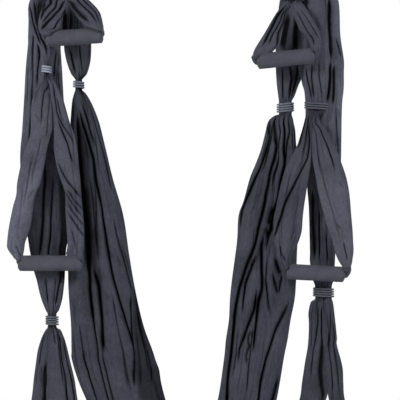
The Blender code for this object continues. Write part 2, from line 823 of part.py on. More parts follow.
def main():
    remove_everything()
    swing = bpy.data.objects.new("swing_axis", None)
    swing.location = (0, 0, BAR_Z)
    bpy.context.scene.collection.objects.link(swing)
    hammock = [build_sling()]
    for side, side_x in ((LEFT, 0.0), (RIGHT, HANG_SPACING)):
        build_carabiner(side, side_x)
        for key, (tail_y, loop_y, strap_depth, loop_depth) in LAYERS.items():
            strap = build_strap(side, key, tail_y, strap_depth, side_x)
            band = build_band(f"{key}_band_{side['name']}", side[key]["neck"], tail_y, side_x)
            loop = build_loop(side, key, tail_y, loop_y, loop_depth, side_x)
            carry(loop, build_grip(side, key, loop_y, side_x))
            hammock += [strap, band, loop]
        hammock.append(build_band(f"sling_band_{side['name']}", side["sling"]["neck"],
                                  SLING_TOP_Y, side_x))
    carry(swing, hammock)


main()
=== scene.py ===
import math
import random
from collections import namedtuple

import bmesh
import bpy
import numpy as np
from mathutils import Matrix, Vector


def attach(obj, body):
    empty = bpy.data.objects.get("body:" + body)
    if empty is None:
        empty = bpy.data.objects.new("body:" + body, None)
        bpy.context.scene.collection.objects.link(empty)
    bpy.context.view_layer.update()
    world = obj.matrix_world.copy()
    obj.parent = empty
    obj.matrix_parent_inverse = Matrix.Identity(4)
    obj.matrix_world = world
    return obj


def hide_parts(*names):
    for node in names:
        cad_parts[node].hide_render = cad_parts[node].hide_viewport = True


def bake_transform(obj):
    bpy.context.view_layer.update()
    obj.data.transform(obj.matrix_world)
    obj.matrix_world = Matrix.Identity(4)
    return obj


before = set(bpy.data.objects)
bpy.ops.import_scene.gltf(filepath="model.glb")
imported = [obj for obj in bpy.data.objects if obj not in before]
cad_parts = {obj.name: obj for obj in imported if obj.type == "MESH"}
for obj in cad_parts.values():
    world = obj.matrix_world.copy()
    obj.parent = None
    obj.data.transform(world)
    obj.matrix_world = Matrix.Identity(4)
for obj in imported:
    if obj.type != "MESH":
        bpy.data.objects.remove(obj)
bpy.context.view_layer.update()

MM = 0.001

# The photo: 2 mm a pixel, its top edge 119 mm under the carabiners' bottom bars
PHOTO_PIXELS = 400
PHOTO_MM = 2.0
PHOTO_LEFT_MM = -124.0
PHOTO_TOP_DROP_MM = 119.0

# Hanging, as in the part
HANG_SPACING = 0.484
BAR_R = 0.005
BAR_Z = -0.101
EYE_PITCH = 0.0086
EYE_WIDTH = 0.0080
EYE_BORE_R = 0.0053
EYE_WALL = 0.0037

# The sewn eye's ridges and crown, and the cloth that leaves it just under the bar
EYE_STEPS = 12
EYE_SEGMENTS = 40
EYE_RIDGE = 0.0004
EYE_CROWN = 0.35
EYE_EXIT = 0.0015
EYE_EXIT_INSET = 0.0002
EYE_EXIT_HALF_DEPTH = 0.0065

# Grips, as in the part
FOAM_R = 0.0155
FOAM_BORE_R = 0.0108
FOAM_END_ROUND = 0.0046
TUBE_R = 0.0105
TUBE_BORE_R = 0.0090
TUBE_PROUD = 0.0012
TUBE_EDGE = 0.0004
ROPE_R = 0.0086
BEND_DEPTH = 0.0088
BEND_CLEARANCE = 0.0010
BEND_LEAD = 0.0050
BULGE_FROM = 0.012
BEND_MOUTH = 0.0072
ROPE_INSET = 0.0060

# The foam's skin: steps along it and round its ends, and how far and often it is from straight
FOAM_STEPS = 12
FOAM_END_STEPS = 6
FOAM_SKIN = 0.00015
FOAM_WAVES = 7

# Steps round foam and tube, and the angle from which an edge of a turned piece stays sharp
FOAM_SEGMENTS = 56
TUBE_SEGMENTS = 48
SHARP_EDGE = math.radians(50)

# Bands, as in the part
CORD_R = 0.0020
CORD_PITCH = 0.0047
CORD_SEAT = 0.0008
NECK_MARGIN = 0.0020

# A band's winding: steps a turn and sides of its cord, where it starts, and how loose a turn
# may lie
BAND_STEPS = 28
CORD_SIDES = 10
BAND_START = 0.6 * math.pi
BAND_LOOSE_MM = 0.4

# Cloth mesh: its steps, the flat cloth in a pleat and between two strips' coordinates, the least
# gap between front and back, and how round a section is
SEAT_ROW_STEP = 0.0068
HANDLE_ROW_STEP = 0.0024
COLUMN_STEP = 0.0011
LEAST_COLUMNS = 30
PLEAT_COLUMNS = 6
PLEAT_CLOTH = 0.03
STRIP_CLOTH_APART = 0.7
LAYER_GAP = 0.0030
ROUNDNESS = 2.6

# Where strap and loop meet: how far below the neck the cloth bends, how far both run past the
# middle of the neck, as a share of half its height, and how close together and how deep the
# loop's two strands start
NECK_OVERLAP = 0.25
LOOP_TOP_SPREAD = 0.85
LOOP_TOP_DEPTH = 0.9

# Rows in which a strap reaches its own depth below its eye, and a loop below its neck, and how
# much a deep bunch of cloth moves to the front
EYE_EASE_ROWS = 2
LOOP_EASE_ROWS = 4
BULGE = 0.6

# Creases: the cloth's area for each scattered crease and pucker, how far a crease wavers and
# over what length, the length over which its depth varies, the share of it that fades in and
# out, how far its rounded side and its sharp side reach, the depth at which it is closed so that
# its painted shade is darkest, and the gain of that painted shade
CREASE_AREA = 0.0048
PUCKER_AREA = 0.0060
WAVER_MM = 2.4
WAVER_LENGTH = 0.045
VARY_LENGTH = 0.06
FADE_SHARE = 0.24
FADE_LEAST = 0.007
FADE_MOST = 0.034
ROUND_SIDE = 5.0 * MM
SHARP_SIDE = 1.6 * MM
CREASE_PAINTED_SHADE_DEPTH = 9 * MM
CREASE_PAINTED_SHADE_GAIN = 1.3

# A cloth with less half depth than this is creased less
THIN_CLOTH = 0.012

# Pleats that fan out from a neck
FAN_PLEATS = 9
FAN_REACH = 0.070
FAN_DEPTH = 3.6 * MM

# Unevenness of the cloth's front: heights in millimetres, and cells in metres across and along.
# Lobes and dents wander sideways by up to WANDER.
LOBE_MM, LOBE_CELL = 2.4, (0.014, 0.12)
DENT_MM, DENT_CELL = 0.9, (0.007, 0.022)
SWELL_MM, SWELL_CELL = 6.0, (0.020, 0.10)
WANDER, WANDER_CELL = 0.012, (0.05, 0.09)
NOISE_CELLS = 61

# Pleats on the back: how far each sways, as a share of a pleat, the cells of that sway to a
# pleat and their length, and how narrow the folds between the pleats are
PLEAT_SWAY = 0.35
SWAY_CELLS = 0.8
SWAY_LENGTH = 0.16
PLEAT_FOLD = 1.4

# Where the cloth is turned back: a step at the line and a slope from it, as shares of the half
# depth, the lengths over which it begins and ends, and the width under which it fades out
BACK_STEP = 0.25
BACK_SLOPE = 1.2
BACK_BEGIN = 0.08
BACK_END = 0.04
BACK_NARROW = 0.12

# Painted light and shade in the cloth's colour: painted shade in closed folds, in the folds
# between the back's pleats and where it is turned back, and painted light where a strand hangs
# clear and light comes through
FOLD_SHADE = 0.90
PLEAT_SHADE = 0.5
BACK_SHADE = 0.36
CLEAR_LIGHT = 0.40
CLEAR_FROM = 0.36
CLEAR_OVER = 0.16

# Seeds of the random draws
SEAT_SEED = 11
SEAT_BAND_SEED = 5
HANDLE_SEED = 20
LOOP_SEED_STEP = 40

# How each handle and the top of the seat cloth hang in depth, and the pleats on their backs
Layer = namedtuple("Layer", "neck_y loop_y strap_half_depth loop_half_depth pleats")
LAYERS = {
    "low": Layer(0.002, 0.002, 0.008, 0.009, 8),
    "middle": Layer(-0.018, -0.030, 0.005, 0.009, 6),
    "upper": Layer(-0.030, -0.042, 0.007, 0.008, 5),
}
LOOP_PLEATS = 5
SEAT_PLEATS = 15
SLING_TOP_Y = 0.008
SLING_TOP_HALF_DEPTH = 0.007

# Each side's cloths, in millimetres from its carabiner's plumb line and under its bottom bar:
# eye: the sewn eye's place on the bar, in eye pitches from its middle
# tones, loop_painted_light_and_shade: painted light and shade, as (drop, tone) down the cloth, and
# one for the loop
# rows, left_strand, right_strand, below: the outline as (drop, left, right), and in some rows
# the half depth
# neck: (centre, half width, half depth, drop, turns of its band)
# band: its cord, and how much it slopes
# grip: the foam's ends as (x, drop); bends: how far the cloth reaches past each end and laps
# over it; shoulder: its half depth there
# clear: the strand that hangs clear of the rest, if any, which gets painted light as if light came
# through it
# under: the seat's underside as (x, drop, half width, half depth, tilt in degrees)
LEFT = {
    "name": "left",
    "x": 0.0,
    "seed": 3,
    "low": {
        "eye": -1.5,
        "tones": [
            (0, 1.45), (150, 1.4), (240, 1.22), (380, 1.2), (450, 0.78), (640, 0.74), (700, 0.88),
        ],
        "loop_painted_light_and_shade": 0.8,
        "rows": [
            (24, -24, -8), (59, -46, -4), (119, -64, 2), (187, -68, 1), (201, -68, -2),
            (215, -69, -3), (259, -73, 0), (315, -76, 3), (379, -80, 8), (435, -84, 12),
            (519, -80, 15), (569, -73, 16), (599, -68, 12), (619, -65, 8), (659, -57, 6),
            (679, -51, 5), (699, -46.5, 3), (719, -41, 0), (739, -33, -6),
        ],
        "neck": (-20, 9, 8, 760, 4),
        "band": ("slate", 0.04),
        "left_strand": [
            (779, -33, -16), (790, -39, -19), (799, -42.5, -21), (819, -48.5, -25),
            (845, -52.5, -27), (879, -57, -26), (919, -61.5, -26), (1019, -79, -49),
            (1079, -98, -66), (1104, -99, -76),
        ],
        "right_strand": [
            (779, -22, -3), (790, -25, 2), (799, -27, 5.5), (819, -30, 11), (845, -31, 17),
            (879, -30, 25), (919, -31, 31), (1019, -16, 48), (1079, 16, 66), (1104, 40, 66),
        ],
        "grip": [(-79, 1139), (47, 1139)],
        "bends": [(10, 3), (10, 3)],
        "shoulder": 14,
    },
    "middle": {
        "eye": -0.5,
        "tones": [(0, 1.25), (200, 1.15), (260, 1.0)],
        "loop_painted_light_and_shade": 1.02,
        "rows": [
            (24, -12, -3), (49, -30, -14), (119, -62, -46), (149, -66, -50), (179, -62, -44),
            (199, -52, -34), (219, -42, -22),
        ],
        "neck": (-29.5, 5.5, 5.5, 259, 3),
        "band": ("silver", -0.03),
        "left_strand": [
            (289, -43, -26), (311, -55, -21), (339, -60, -17), (375, -60, -17), (393, -62, -21),
            (415, -70, -27), (433, -76, -30), (459, -82, -35), (485, -87, -41), (509, -89, -51),
            (531, -95, -55), (559, -101, -58), (583, -105, -64), (603, -107, -71),
            (613, -107, -72.5), (623, -102, -74), (629, -97, -75.5, 13), (635, -92.5, -77, 16),
        ],
        "right_strand": [
            (289, -24, -10), (313, -21, 2), (339, -17, 10), (363, -15, 17), (389, -14, 26),
            (419, -14, 32), (449, -9, 35), (475, -2, 38), (505, 8, 40), (539, 9, 43), (575, 11, 46),
            (605, 13, 46), (619, 11.5, 44.5), (629, 12, 44, 9),
        ],
        "grip": [(-84, 644.5), (42, 644.5)],
        "bends": [(4, 6), (3.5, 3)],
        "shoulder": 17,
        "clear": "left_strand",
    },
    "upper": {
        "eye": 0.5,
        "tones": [(0, 1.0)],
        "loop_painted_light_and_shade": 0.97,
        "rows": [(29, 2, 14), (64, 9, 29)],
        "neck": (22, 8, 8, 101, 3),
        "band": ("dark", 0.0),
        "left_strand": [
            (119, -20, 18), (131, -32, 11), (145, -39, 7), (159, -43, 4), (171, -44, 1),
            (179, -43.5, 1, 12), (184, -42, -6, 16), (188, -41, -14, 19),
        ],
        "right_strand": [
            (119, 14, 53), (124, 15, 57.5), (134, 17, 67.5), (147, 26, 77.5), (159, 34, 81.5),
            (168, 42, 83.5, 13), (175, 47, 85, 17), (180, 56, 85.5, 19),
        ],
        "grip": [(-27, 200.5), (83, 193)],
        "bends": [(9, 9), (4, 10)],
        "shoulder": 20,
    },
    "sling": {
        "eye": 1.5,
        "tones": [(0, 0.9), (260, 0.9), (400, 0.76), (900, 0.7)],
        "rows": [
            (24, 9, 22), (64, 2, 36), (119, 0, 50), (155, 0, 56), (185, 0, 58), (203, 3, 58),
            (219, 4, 58), (243, 9, 56), (267, 18, 49),
        ],
        "neck": (33, 7, 7, 288, 3),
        "band": ("grey", -0.02),
        "below": [
            (304, 24, 46, 8), (311, 22, 51, 8), (319, 20, 55.5, 9), (332, 18.5, 62, 10),
            (359, 16.5, 72.5, 12), (385, 15.5, 79.5, 13), (429, 13, 90, 16), (479, 12, 102, 18),
            (549, 12, 122, 20), (629, 11, 134, 22), (699, 12, 146, 24), (769, 17, 162, 27),
            (819, 18, 180, 29), (849, 21, 190, 30),
        ],
        "under": [(130, 919, 75, 36, 24), (162, 1010, 68, 42, 21)],
    },
}

RIGHT = {
    "name": "right",
    "x": HANG_SPACING,
    "seed": 8,
    "low": {
        "eye": 1.5,
        "tones": [(0, 1.45), (300, 1.5), (400, 1.3), (500, 0.95), (660, 0.85)],
        "loop_painted_light_and_shade": 0.7,
        "rows": [
            (24, 8, 24), (59, -4, 48), (119, -9, 69), (189, -12, 73), (239, -12, 80),
            (262, -10, 80), (276, -6, 80), (289, -3, 80), (303, 1, 79), (339, 3, 76), (449, 4, 74),
            (499, 7, 70), (539, 10, 66), (619, 12, 63), (643, 12, 62), (675, 17, 60),
        ],
        "neck": (39, 17, 8, 704, 4),
        "band": ("dark", 0.0),
        "left_strand": [
            (723, 14, 40), (745, 9, 41), (769, 10, 44), (809, 8, 47), (845, 2, 48), (885, -4, 47.5),
            (919, -9, 44), (999, -32, 4), (1034, -42, -19),
        ],
        "right_strand": [
            (723, 38, 58), (745, 41, 61), (793, 44, 66), (809, 42, 66), (852, 43, 77),
            (885, 46.5, 79), (919, 50, 82), (999, 70, 102), (1034, 91, 113),
        ],
        "grip": [(-24, 1069), (96, 1069)],
        "bends": [(10, 3), (10, 3)],
        "shoulder": 14,
    },
    "middle": {
        "eye": 0.5,
        "tones": [(0, 1.0)],
        "loop_painted_light_and_shade": 0.84,
        "rows": [(24, 0, 12), (49, -3, 20), (119, 4, 38), (249, -3, 42), (305, 2, 43)],
        "neck": (23, 19, 6, 332, 3),
        "band": ("dark", -0.02),
        "left_strand": [
            (369, -2, 15), (399, -11, 15), (413, -16, 14), (443, -31, 12), (459, -39, 10),
            (491, -48, 5), (529, -56, -1), (555, -60, -4), (581, -62, -6), (601, -60, -12),
            (617, -57, -19), (631, -54.5, -24, 12), (643, -50, -28, 14),
        ],
        "right_strand": [
            (363, 15, 32), (379, 15, 45), (399, 14, 55), (415, 14, 62), (443, 16, 72),
            (469, 21, 81), (495, 25, 87), (519, 30, 90), (545, 37, 92), (579, 47, 95),
            (599, 54, 96), (619, 59, 97), (633, 64, 95.5), (643, 69, 94), (651, 74, 92),
        ],
        "grip": [(-34, 661), (78, 667)],
        "bends": [(8, 3), (12, 5)],
        "shoulder": 17,
        "clear": "right_strand",
    },
    "upper": {
        "eye": -0.5,
        "tones": [(0, 1.0)],
        "loop_painted_light_and_shade": 0.92,
        "rows": [(29, -14, 0), (64, -34, -4), (92, -44, -8)],
        "neck": (-26, 20, 8, 116, 3),
        "band": ("grey", 0.05),
        "left_strand": [
            (133, -46, -26), (149, -57, -38), (169, -69, -42), (189, -80.5, -46), (209, -93, -50),
            (219, -99, -58), (226, -102, -65), (231, -103.5, -76, 12),
        ],
        "right_strand": [
            (133, -29, -1), (155, -21, 12), (181, -11, 27), (199, 4, 32.5), (211, 9, 33.5, 11),
            (217, 11, 34, 13),
        ],
        "grip": [(-94, 245), (16, 233)],
        "bends": [(10, 3), (14, 2)],
        "shoulder": 16,
    },
    "sling": {
        "eye": -1.5,
        "tones": [(0, 0.9), (300, 1.0), (400, 0.92), (500, 0.78), (900, 0.74)],
        "rows": [
            (24, -20, -8), (64, -32, -4), (119, -48, -2), (199, -56, -3), (255, -56, -3),
            (275, -55, -4.5), (289, -54, -10.5), (312, -51, -19),
        ],
        "neck": (-37, 13, 9, 334, 4),
        "band": ("grey", 0.16),
        "below": [
            (349.5, -58, -24, 9), (357, -68, -21.5, 9), (366, -73, -20, 10), (379, -76, -17, 11),
            (415, -85, -14, 13), (443, -95, -4, 15), (475, -108, -2, 18), (519, -120, 0, 20),
            (543, -129, -2, 20), (563, -132, -4, 20), (603, -134, -12, 21), (679, -144, -15, 23),
            (719, -148, -18, 24), (759, -150, -26, 26), (799, -156, -32, 28), (839, -160, -40, 30),
        ],
        "under": [(-136, 1015, 57, 42, 166), (-113, 919, 58, 36, 168)],
    },
}

# The seat's underside, as in the part: an arc with (tilt in degrees, half width)
SEAT_OFFSET = 0.018
SEAT_R = 0.070
SEAT_BOTTOM_DROP = 1.153
SEAT_ARC = [(28, 62), (50, 58), (90, 54), (130, 55), (154, 57)]
SEAT_HALF_DEPTH = 0.045
SEAT_Y = 0.020
SEAT_SIDE_Y = 0.017
SEAT_TOP_Y = 0.015

# Creases on each cloth's branches: (half_width_mm, depth_mm, lean, [(x, y) in photo pixels]).
# A lean of 1 rounds the cloth off on the right of the crease, -1 on its left and 0 on both.
CREASES = {
    "sling": {
        "left": [
            (2.6, 20, 0, [(77, 112), (78, 129), (80, 163), (83, 200), (86, 225), (88, 249),
                          (89, 271), (91, 300), (94, 325)]),
            (5.5, 14, 0, [(81, 178), (83, 200), (86, 225), (88, 249), (89, 275)]),
            (1.0, 10, 0, [(92, 300), (95, 330), (98, 350), (101, 368), (107, 400), (112, 425)]),
            (1.5, 16, 1, [(79, 106), (82, 123), (87, 139), (93, 159), (96, 180), (100, 202),
                          (103, 223), (108, 249), (112, 271), (118, 296), (124, 316), (130, 334),
                          (134, 350)]),
            (1.0, 6, 1, [(80, 98), (84, 112), (90, 130), (97, 150)]),
            (1.0, 5, -1, [(86, 98), (93, 118), (100, 142), (108, 172), (113, 195)]),
            (2.8, 20, 0, [(93, 262), (95, 272), (99, 287), (102, 318), (103, 345), (103, 356)]),
            (1.1, 8, 0, [(102, 345), (106, 370), (112, 400), (117, 425)]),
            (1.0, 5, 1, [(112, 215), (118, 240), (124, 262), (130, 285), (134, 300)]),
            (0.9, 4, 0, [(121, 240), (127, 262), (132, 280)]),
            (0.9, 4, 1, [(78, 318), (82, 345), (88, 370), (95, 400)]),
            (0.9, 4, 0, [(73, 330), (76, 360), (83, 385), (91, 410)]),
            (0.9, 4, -1, [(84, 345), (88, 368), (96, 400)]),
            (0.9, 4, 1, [(112, 290), (117, 320), (123, 350), (130, 395)]),
            (0.8, 3, 0, [(124, 350), (127, 372), (133, 400)]),
            (1.0, 9, -1, [(131, 288), (132, 320), (134, 350), (137, 395)]),
            (1.0, 7, 0, [(137, 306), (142, 340), (149, 380)]),
            (1.0, 6, 0, [(135, 326), (139, 360), (144, 398)]),
            (0.9, 6, 0, [(143, 338), (150, 368), (157, 400)]),
            (0.9, 4, -1, [(91, 150), (95, 190), (96, 230), (99, 255)]),
            (0.9, 5, 1, [(99, 176), (102, 178), (105, 177)]),
            (4.2, 14, 0, [(64, 10), (64, 22), (65, 38)]),
            (1.4, 9, 0, [(71, 8), (70, 24), (70, 40)]),
            (1.2, 7, 1, [(79, 42), (80, 56), (82, 74)]),
            (1.2, 7, -1, [(70, 46), (72, 60), (76, 76)]),
        ],
        "right": [
            (4.5, 14, 0, [(289, 12), (286, 30), (283, 52)]),
            (3.0, 12, 0, [(298, 18), (297, 34), (296, 52)]),
            (1.2, 8, 0, [(282, 62), (283, 80), (283, 102)]),
            (1.4, 9, 1, [(289, 62), (291, 82), (288, 102)]),
            (2.4, 12, -1, [(299, 62), (297, 78), (292, 98)]),
            (1.6, 12, 1, [(276, 113), (270, 136), (264, 156), (259, 170), (253, 183), (246, 201),
                          (241, 216), (240, 232)]),
            (1.8, 18, -1, [(281, 113), (277, 146), (272, 166), (269, 183), (266, 196), (263, 213),
                           (258, 231), (255, 244), (249, 260), (240, 288), (235, 316), (233, 342),
                           (230, 367), (227, 391), (224, 425)]),
            (1.4, 14, 1, [(286, 112), (285, 135), (284, 168), (280, 188), (273, 213), (270, 230),
                          (265, 244)]),
            (1.0, 6, 0, [(278, 112), (273, 134), (268, 155), (262, 176)]),
            (1.0, 6, 1, [(284, 112), (281, 132), (279, 152), (275, 172), (272, 186)]),
            (1.2, 7, 0, [(289, 114), (290, 132), (287, 152), (283, 166)]),
            (1.5, 12, 0, [(260, 250), (253, 265), (246, 283), (243, 301), (242, 318)]),
            (2.2, 18, 0, [(266, 232), (262, 246), (262, 265), (262, 289), (259, 303), (257, 321),
                          (255, 337), (252, 355)]),
            (1.8, 14, 0, [(257, 286), (254, 309), (247, 327), (240, 349), (238, 366)]),
            (1.6, 12, -1, [(291, 298), (284, 313), (276, 330), (272, 342), (266, 360), (261, 381),
                           (258, 400), (255, 428)]),
            (3.0, 14, 0, [(279, 370), (277, 380), (272, 400), (268, 425)]),
            (1.0, 6, 1, [(268, 250), (266, 280), (268, 305), (272, 322)]),
            (0.9, 5, 0, [(254, 318), (251, 345), (248, 370), (245, 400)]),
            (0.9, 4, 1, [(238, 300), (234, 330), (231, 352)]),
            (1.0, 8, 0, [(275, 205), (270, 216), (268, 224)]),
            (1.0, 8, 1, [(268, 218), (272, 226), (269, 238)]),
            (1.0, 8, 0, [(264, 226), (269, 236), (266, 250)]),
            (1.3, 10, 1, [(275, 258), (278, 268), (282, 276)]),
            (1.2, 9, -1, [(279, 294), (281, 284), (283, 274)]),
            (1.0, 7, 1, [(273, 272), (275, 284), (278, 296)]),
            (1.0, 7, 0, [(252, 330), (248, 338), (250, 350)]),
            (1.0, 7, 0, [(250, 344), (246, 354), (247, 364)]),
        ],
    },
    "middle_left": {
        "left": [
            (1.4, 9, 1, [(35, -4), (37, 12), (40, 26), (44, 42), (47, 62)]),
            (1.2, 8, 0, [(39, -2), (41, 12), (43, 24), (47, 38), (49, 60)]),
            (1.2, 8, -1, [(31, 2), (33, 16), (37, 32), (43, 50)]),
        ],
        "left_strand": [
            (1.4, 8, 0, [(49, 76), (45, 92), (43, 108), (42, 130)]),
            (0.9, 4, 1, [(51, 80), (50, 96), (49, 120), (46, 146)]),
            (0.9, 4, -1, [(44, 80), (39, 92), (36, 104)]),
            (0.9, 4, 1, [(44, 132), (40, 152), (35, 172), (32, 190)]),
            (0.9, 4, 0, [(36, 150), (31, 168), (28, 188), (24, 212)]),
            (0.8, 3, 1, [(25, 180), (23, 205), (18, 235)]),
            (1.0, 5, 0, [(18, 244), (20, 252), (23, 260)]),
        ],
        "right_strand": [
            (1.1, 7, 1, [(52, 80), (55, 95), (58, 112), (63, 124), (72, 138), (76, 152)]),
            (1.2, 8, 1, [(58, 118), (62, 130), (68, 144), (71, 156), (76, 168)]),
            (1.2, 6, 1, [(58, 158), (63, 172), (69, 182), (78, 193), (87, 203)]),
            (1.0, 4.5, 1, [(67, 188), (75, 200), (87, 212)]),
            (1.1, 5.5, 1, [(64, 188), (70, 198), (77, 208), (87, 220)]),
            (1.1, 5.5, 1, [(66, 199), (73, 210), (80, 219), (88, 229)]),
            (1.0, 4.5, 1, [(68, 210), (75, 221), (81, 230), (88, 239)]),
            (0.9, 4, 0, [(72, 226), (75, 240), (78, 254)]),
            (0.9, 4, 1, [(58, 96), (61, 112), (66, 126)]),
        ],
    },
    "middle_right": {
        "right": [
            (1.3, 9, 0, [(312, 60), (311, 78), (314, 102)]),
            (1.2, 8, 1, [(318, 58), (319, 80), (321, 102)]),
            (1.2, 7, -1, [(305, 66), (308, 86), (311, 104)]),
        ],
        "left_strand": [
            (1.5, 13, -1, [(310, 120), (309, 138), (307, 158), (298, 177), (290, 192), (284, 205),
                           (280, 218), (276, 231), (272, 245)]),
            (1.0, 7, 0, [(307, 112), (304, 124), (300, 140), (295, 152)]),
            (0.9, 5, 1, [(309, 112), (307, 128), (304, 146), (300, 160)]),
            (0.8, 3, 0, [(300, 190), (295, 212), (291, 240)]),
            (1.0, 6, 0, [(279, 244), (281, 254), (286, 264)]),
        ],
        "right_strand": [
            (1.1, 8, 1, [(316, 110), (318, 127), (326, 145), (331, 160), (335, 176)]),
            (1.1, 8, 1, [(320, 110), (323, 120), (328, 131), (334, 145)]),
            (1.0, 6, -1, [(318, 112), (321, 122), (327, 134)]),
            (1.0, 5, 0, [(313, 112), (315, 134), (318, 160), (321, 180)]),
            (0.9, 3, 1, [(317, 150), (323, 180), (332, 215), (341, 245)]),
            (0.9, 4, 0, [(334, 222), (338, 228), (343, 230)]),
            (1.0, 5, 0, [(342, 240), (344, 252), (346, 262)]),
        ],
    },
    "low_left": {
        "left": [
            (1.4, 6, 1, [(36, 0), (34, 40), (33, 75), (32, 110), (29, 150), (28, 180)]),
            (1.4, 7, 0, [(57, 48), (54, 66), (53, 80)]),
            (1.0, 5, 0, [(56, 66), (57, 84), (59, 106)]),
            (0.9, 3, 1, [(29, 62), (28, 84), (26, 108)]),
            (1.6, 8, -1, [(38, 36), (40, 55), (38, 75), (37, 90)]),
            (1.2, 6, 0, [(59, 52), (58, 72), (59, 95)]),
            (2.0, 9, 0, [(45, 160), (44, 200), (42, 226), (40, 250), (38, 264)]),
            (1.4, 7, 1, [(54, 170), (52, 210), (50, 240), (48, 266)]),
            (6.2, 16, 0, [(61, 164), (63, 184), (64, 205), (64, 230), (64, 256), (63, 286)]),
            (1.6, 8, -1, [(60, 262), (60, 285)]),
            (1.0, 6, 0, [(44, 275), (47, 290), (49, 306)]),
            (1.0, 5, 1, [(56, 274), (55, 290), (53, 306)]),
            (1.6, 7, 0, [(61, 274), (58, 292), (55, 308)]),
        ],
        "left_strand": [
            (3.2, 16, 0, [(46, 358), (45, 375), (45, 400), (45, 425)]),
            (0.9, 4, 1, [(47, 328), (42, 345), (39, 370)]),
        ],
        "right_strand": [
            (1.2, 9, 1, [(55, 326), (60, 340), (63, 365), (67, 400), (69, 430)]),
            (1.1, 8, 0, [(57, 326), (64, 345), (69, 368), (74, 395), (76, 420)]),
            (0.9, 5, 0, [(53, 328), (55, 337), (56, 346)]),
        ],
    },
    "low_right": {
        "right": [
            (2.4, 14, 0, [(328, -8), (329, 20), (330, 38), (330, 64)]),
            (2.0, 12, -1, [(330, 58), (330, 75), (329, 88), (326, 106)]),
            (1.1, 6, 1, [(335, 36), (338, 46), (341, 58)]),
            (1.8, 9, 1, [(334, 62), (334, 85), (333, 108)]),
            (1.0, 5, 0, [(322, 10), (321, 40), (323, 66)]),
            (1.0, 5, 0, [(317, 66), (315, 84), (314, 102)]),
            (1.0, 5, 1, [(336, 110), (337, 140), (338, 162)]),
            (2.4, 13, 0, [(313, 185), (313, 215), (314, 245), (315, 264)]),
            (1.3, 8, 1, [(319, 205), (319, 235), (320, 264)]),
            (1.0, 6, 0, [(327, 230), (327, 250), (328, 266)]),
        ],
        "left_strand": [
            (1.0, 8, 0, [(319, 300), (318, 316), (313, 350), (310, 383)]),
            (1.2, 10, 1, [(322, 302), (321, 332), (322, 350)]),
            (3.4, 15, 0, [(322, 334), (322, 350), (320, 372), (320, 410)]),
            (0.9, 5, 0, [(314, 304), (312, 330), (309, 356)]),
        ],
        "right_strand": [
            (1.0, 7, 0, [(329, 302), (330, 322), (329, 337), (331, 362), (333, 400)]),
            (0.9, 5, 1, [(332, 316), (334, 338), (336, 362), (339, 396)]),
        ],
    },
    "upper_left": {
        "left_strand": [
            (1.6, 11, 1, [(60, -2), (53, 5), (45, 14), (42, 24)]),
            (1.6, 12, 1, [(68, 0), (61, 11), (53, 20), (45, 29), (42, 35)]),
            (1.5, 11, -1, [(68, 8), (63, 20), (55, 31), (48, 38)]),
            (1.2, 8, 0, [(52, -2), (46, 7), (43, 16)]),
            (1.2, 8, 1, [(65, -2), (57, 9), (49, 18), (43, 28)]),
        ],
        "right_strand": [
            (3.6, 20, 0, [(70, -4), (73, 5), (77, 12), (84, 19), (92, 26)]),
            (1.8, 15, 0, [(75, -4), (79, 3), (85, 9), (93, 17), (99, 26)]),
            (1.3, 12, 0, [(80, -4), (84, 1), (91, 8), (98, 17), (102, 27)]),
            (1.0, 8, 0, [(87, -4), (93, 4), (99, 12), (103, 22)]),
        ],
    },
    "upper_right": {
        "left_strand": [
            (2.0, 12, 1, [(286, 5), (277, 18), (267, 36), (259, 51)]),
            (1.6, 12, 0, [(290, 6), (284, 20), (278, 35), (272, 52)]),
            (1.0, 7, -1, [(288, 8), (281, 20), (272, 36), (265, 50)]),
        ],
        "right_strand": [
            (1.0, 6, 1, [(293, 8), (301, 22), (310, 38), (315, 48)]),
            (0.9, 5, 0, [(298, 8), (306, 20), (314, 34), (318, 44)]),
            (1.0, 6, -1, [(309, 36), (312, 42), (313, 48)]),
        ],
    },
}

# The branch and the line, in photo pixels, from which the seat cloth turns back to its right edge
TURNED_BACK = ("left", [(131, 280), (133, 300), (134, 340), (135, 374), (141, 400), (152, 420),
                        (166, 436), (177, 445)])

# Folds that run on round the seat: (half width in mm, depth in mm, lean, [(share of the way
# from the seat's left end to its right end, place across from -1 to 1)])
SEAT_FOLDS = [
    (1.6, 11, 0, [(0.02, -0.49), (0.22, -0.55), (0.5, -0.68)]),
    (2.0, 12, 0, [(0.42, -0.6), (0.75, -0.74), (1.02, -0.83)]),
    (1.4, 11, -1, [(0.02, -0.37), (0.3, -0.28), (0.6, -0.26), (1.02, -0.35)]),
    (1.0, 7, 1, [(0.02, 0.07), (0.25, 0.03), (0.52, 0.1)]),
    (1.1, 8, 0, [(0.38, -0.06), (0.7, 0.04), (1.02, 0.08)]),
    (1.4, 10, 0, [(0.1, 0.45), (0.4, 0.36), (0.72, 0.48), (1.02, 0.72)]),
    (1.0, 7, 0, [(0.16, 0.74), (0.4, 0.68), (0.62, 0.74)]),
]


# Numbers and curves

def smooth(t):
    t = np.clip(t, 0.0, 1.0)
    return t * t * (3 - 2 * t)


def noise_field(across, along, seed):
    """Smooth noise from 0 to 1, over arrays of cell coordinates."""
    table = np.random.default_rng(seed).random((NOISE_CELLS, NOISE_CELLS))
    ix, iy = np.floor(across).astype(int), np.floor(along).astype(int)
    fx, fy = smooth(across - ix), smooth(along - iy)

    def between(row):
        return table[ix % NOISE_CELLS, row] * (1 - fx) + table[(ix + 1) % NOISE_CELLS, row] * fx

    return between(iy % NOISE_CELLS) * (1 - fy) + between((iy + 1) % NOISE_CELLS) * fy


def ridged(noise):
    """Noise with sharp valleys and rounded tops, from 0 at a valley to 1."""
    return np.sqrt(np.abs(2 * noise - 1))


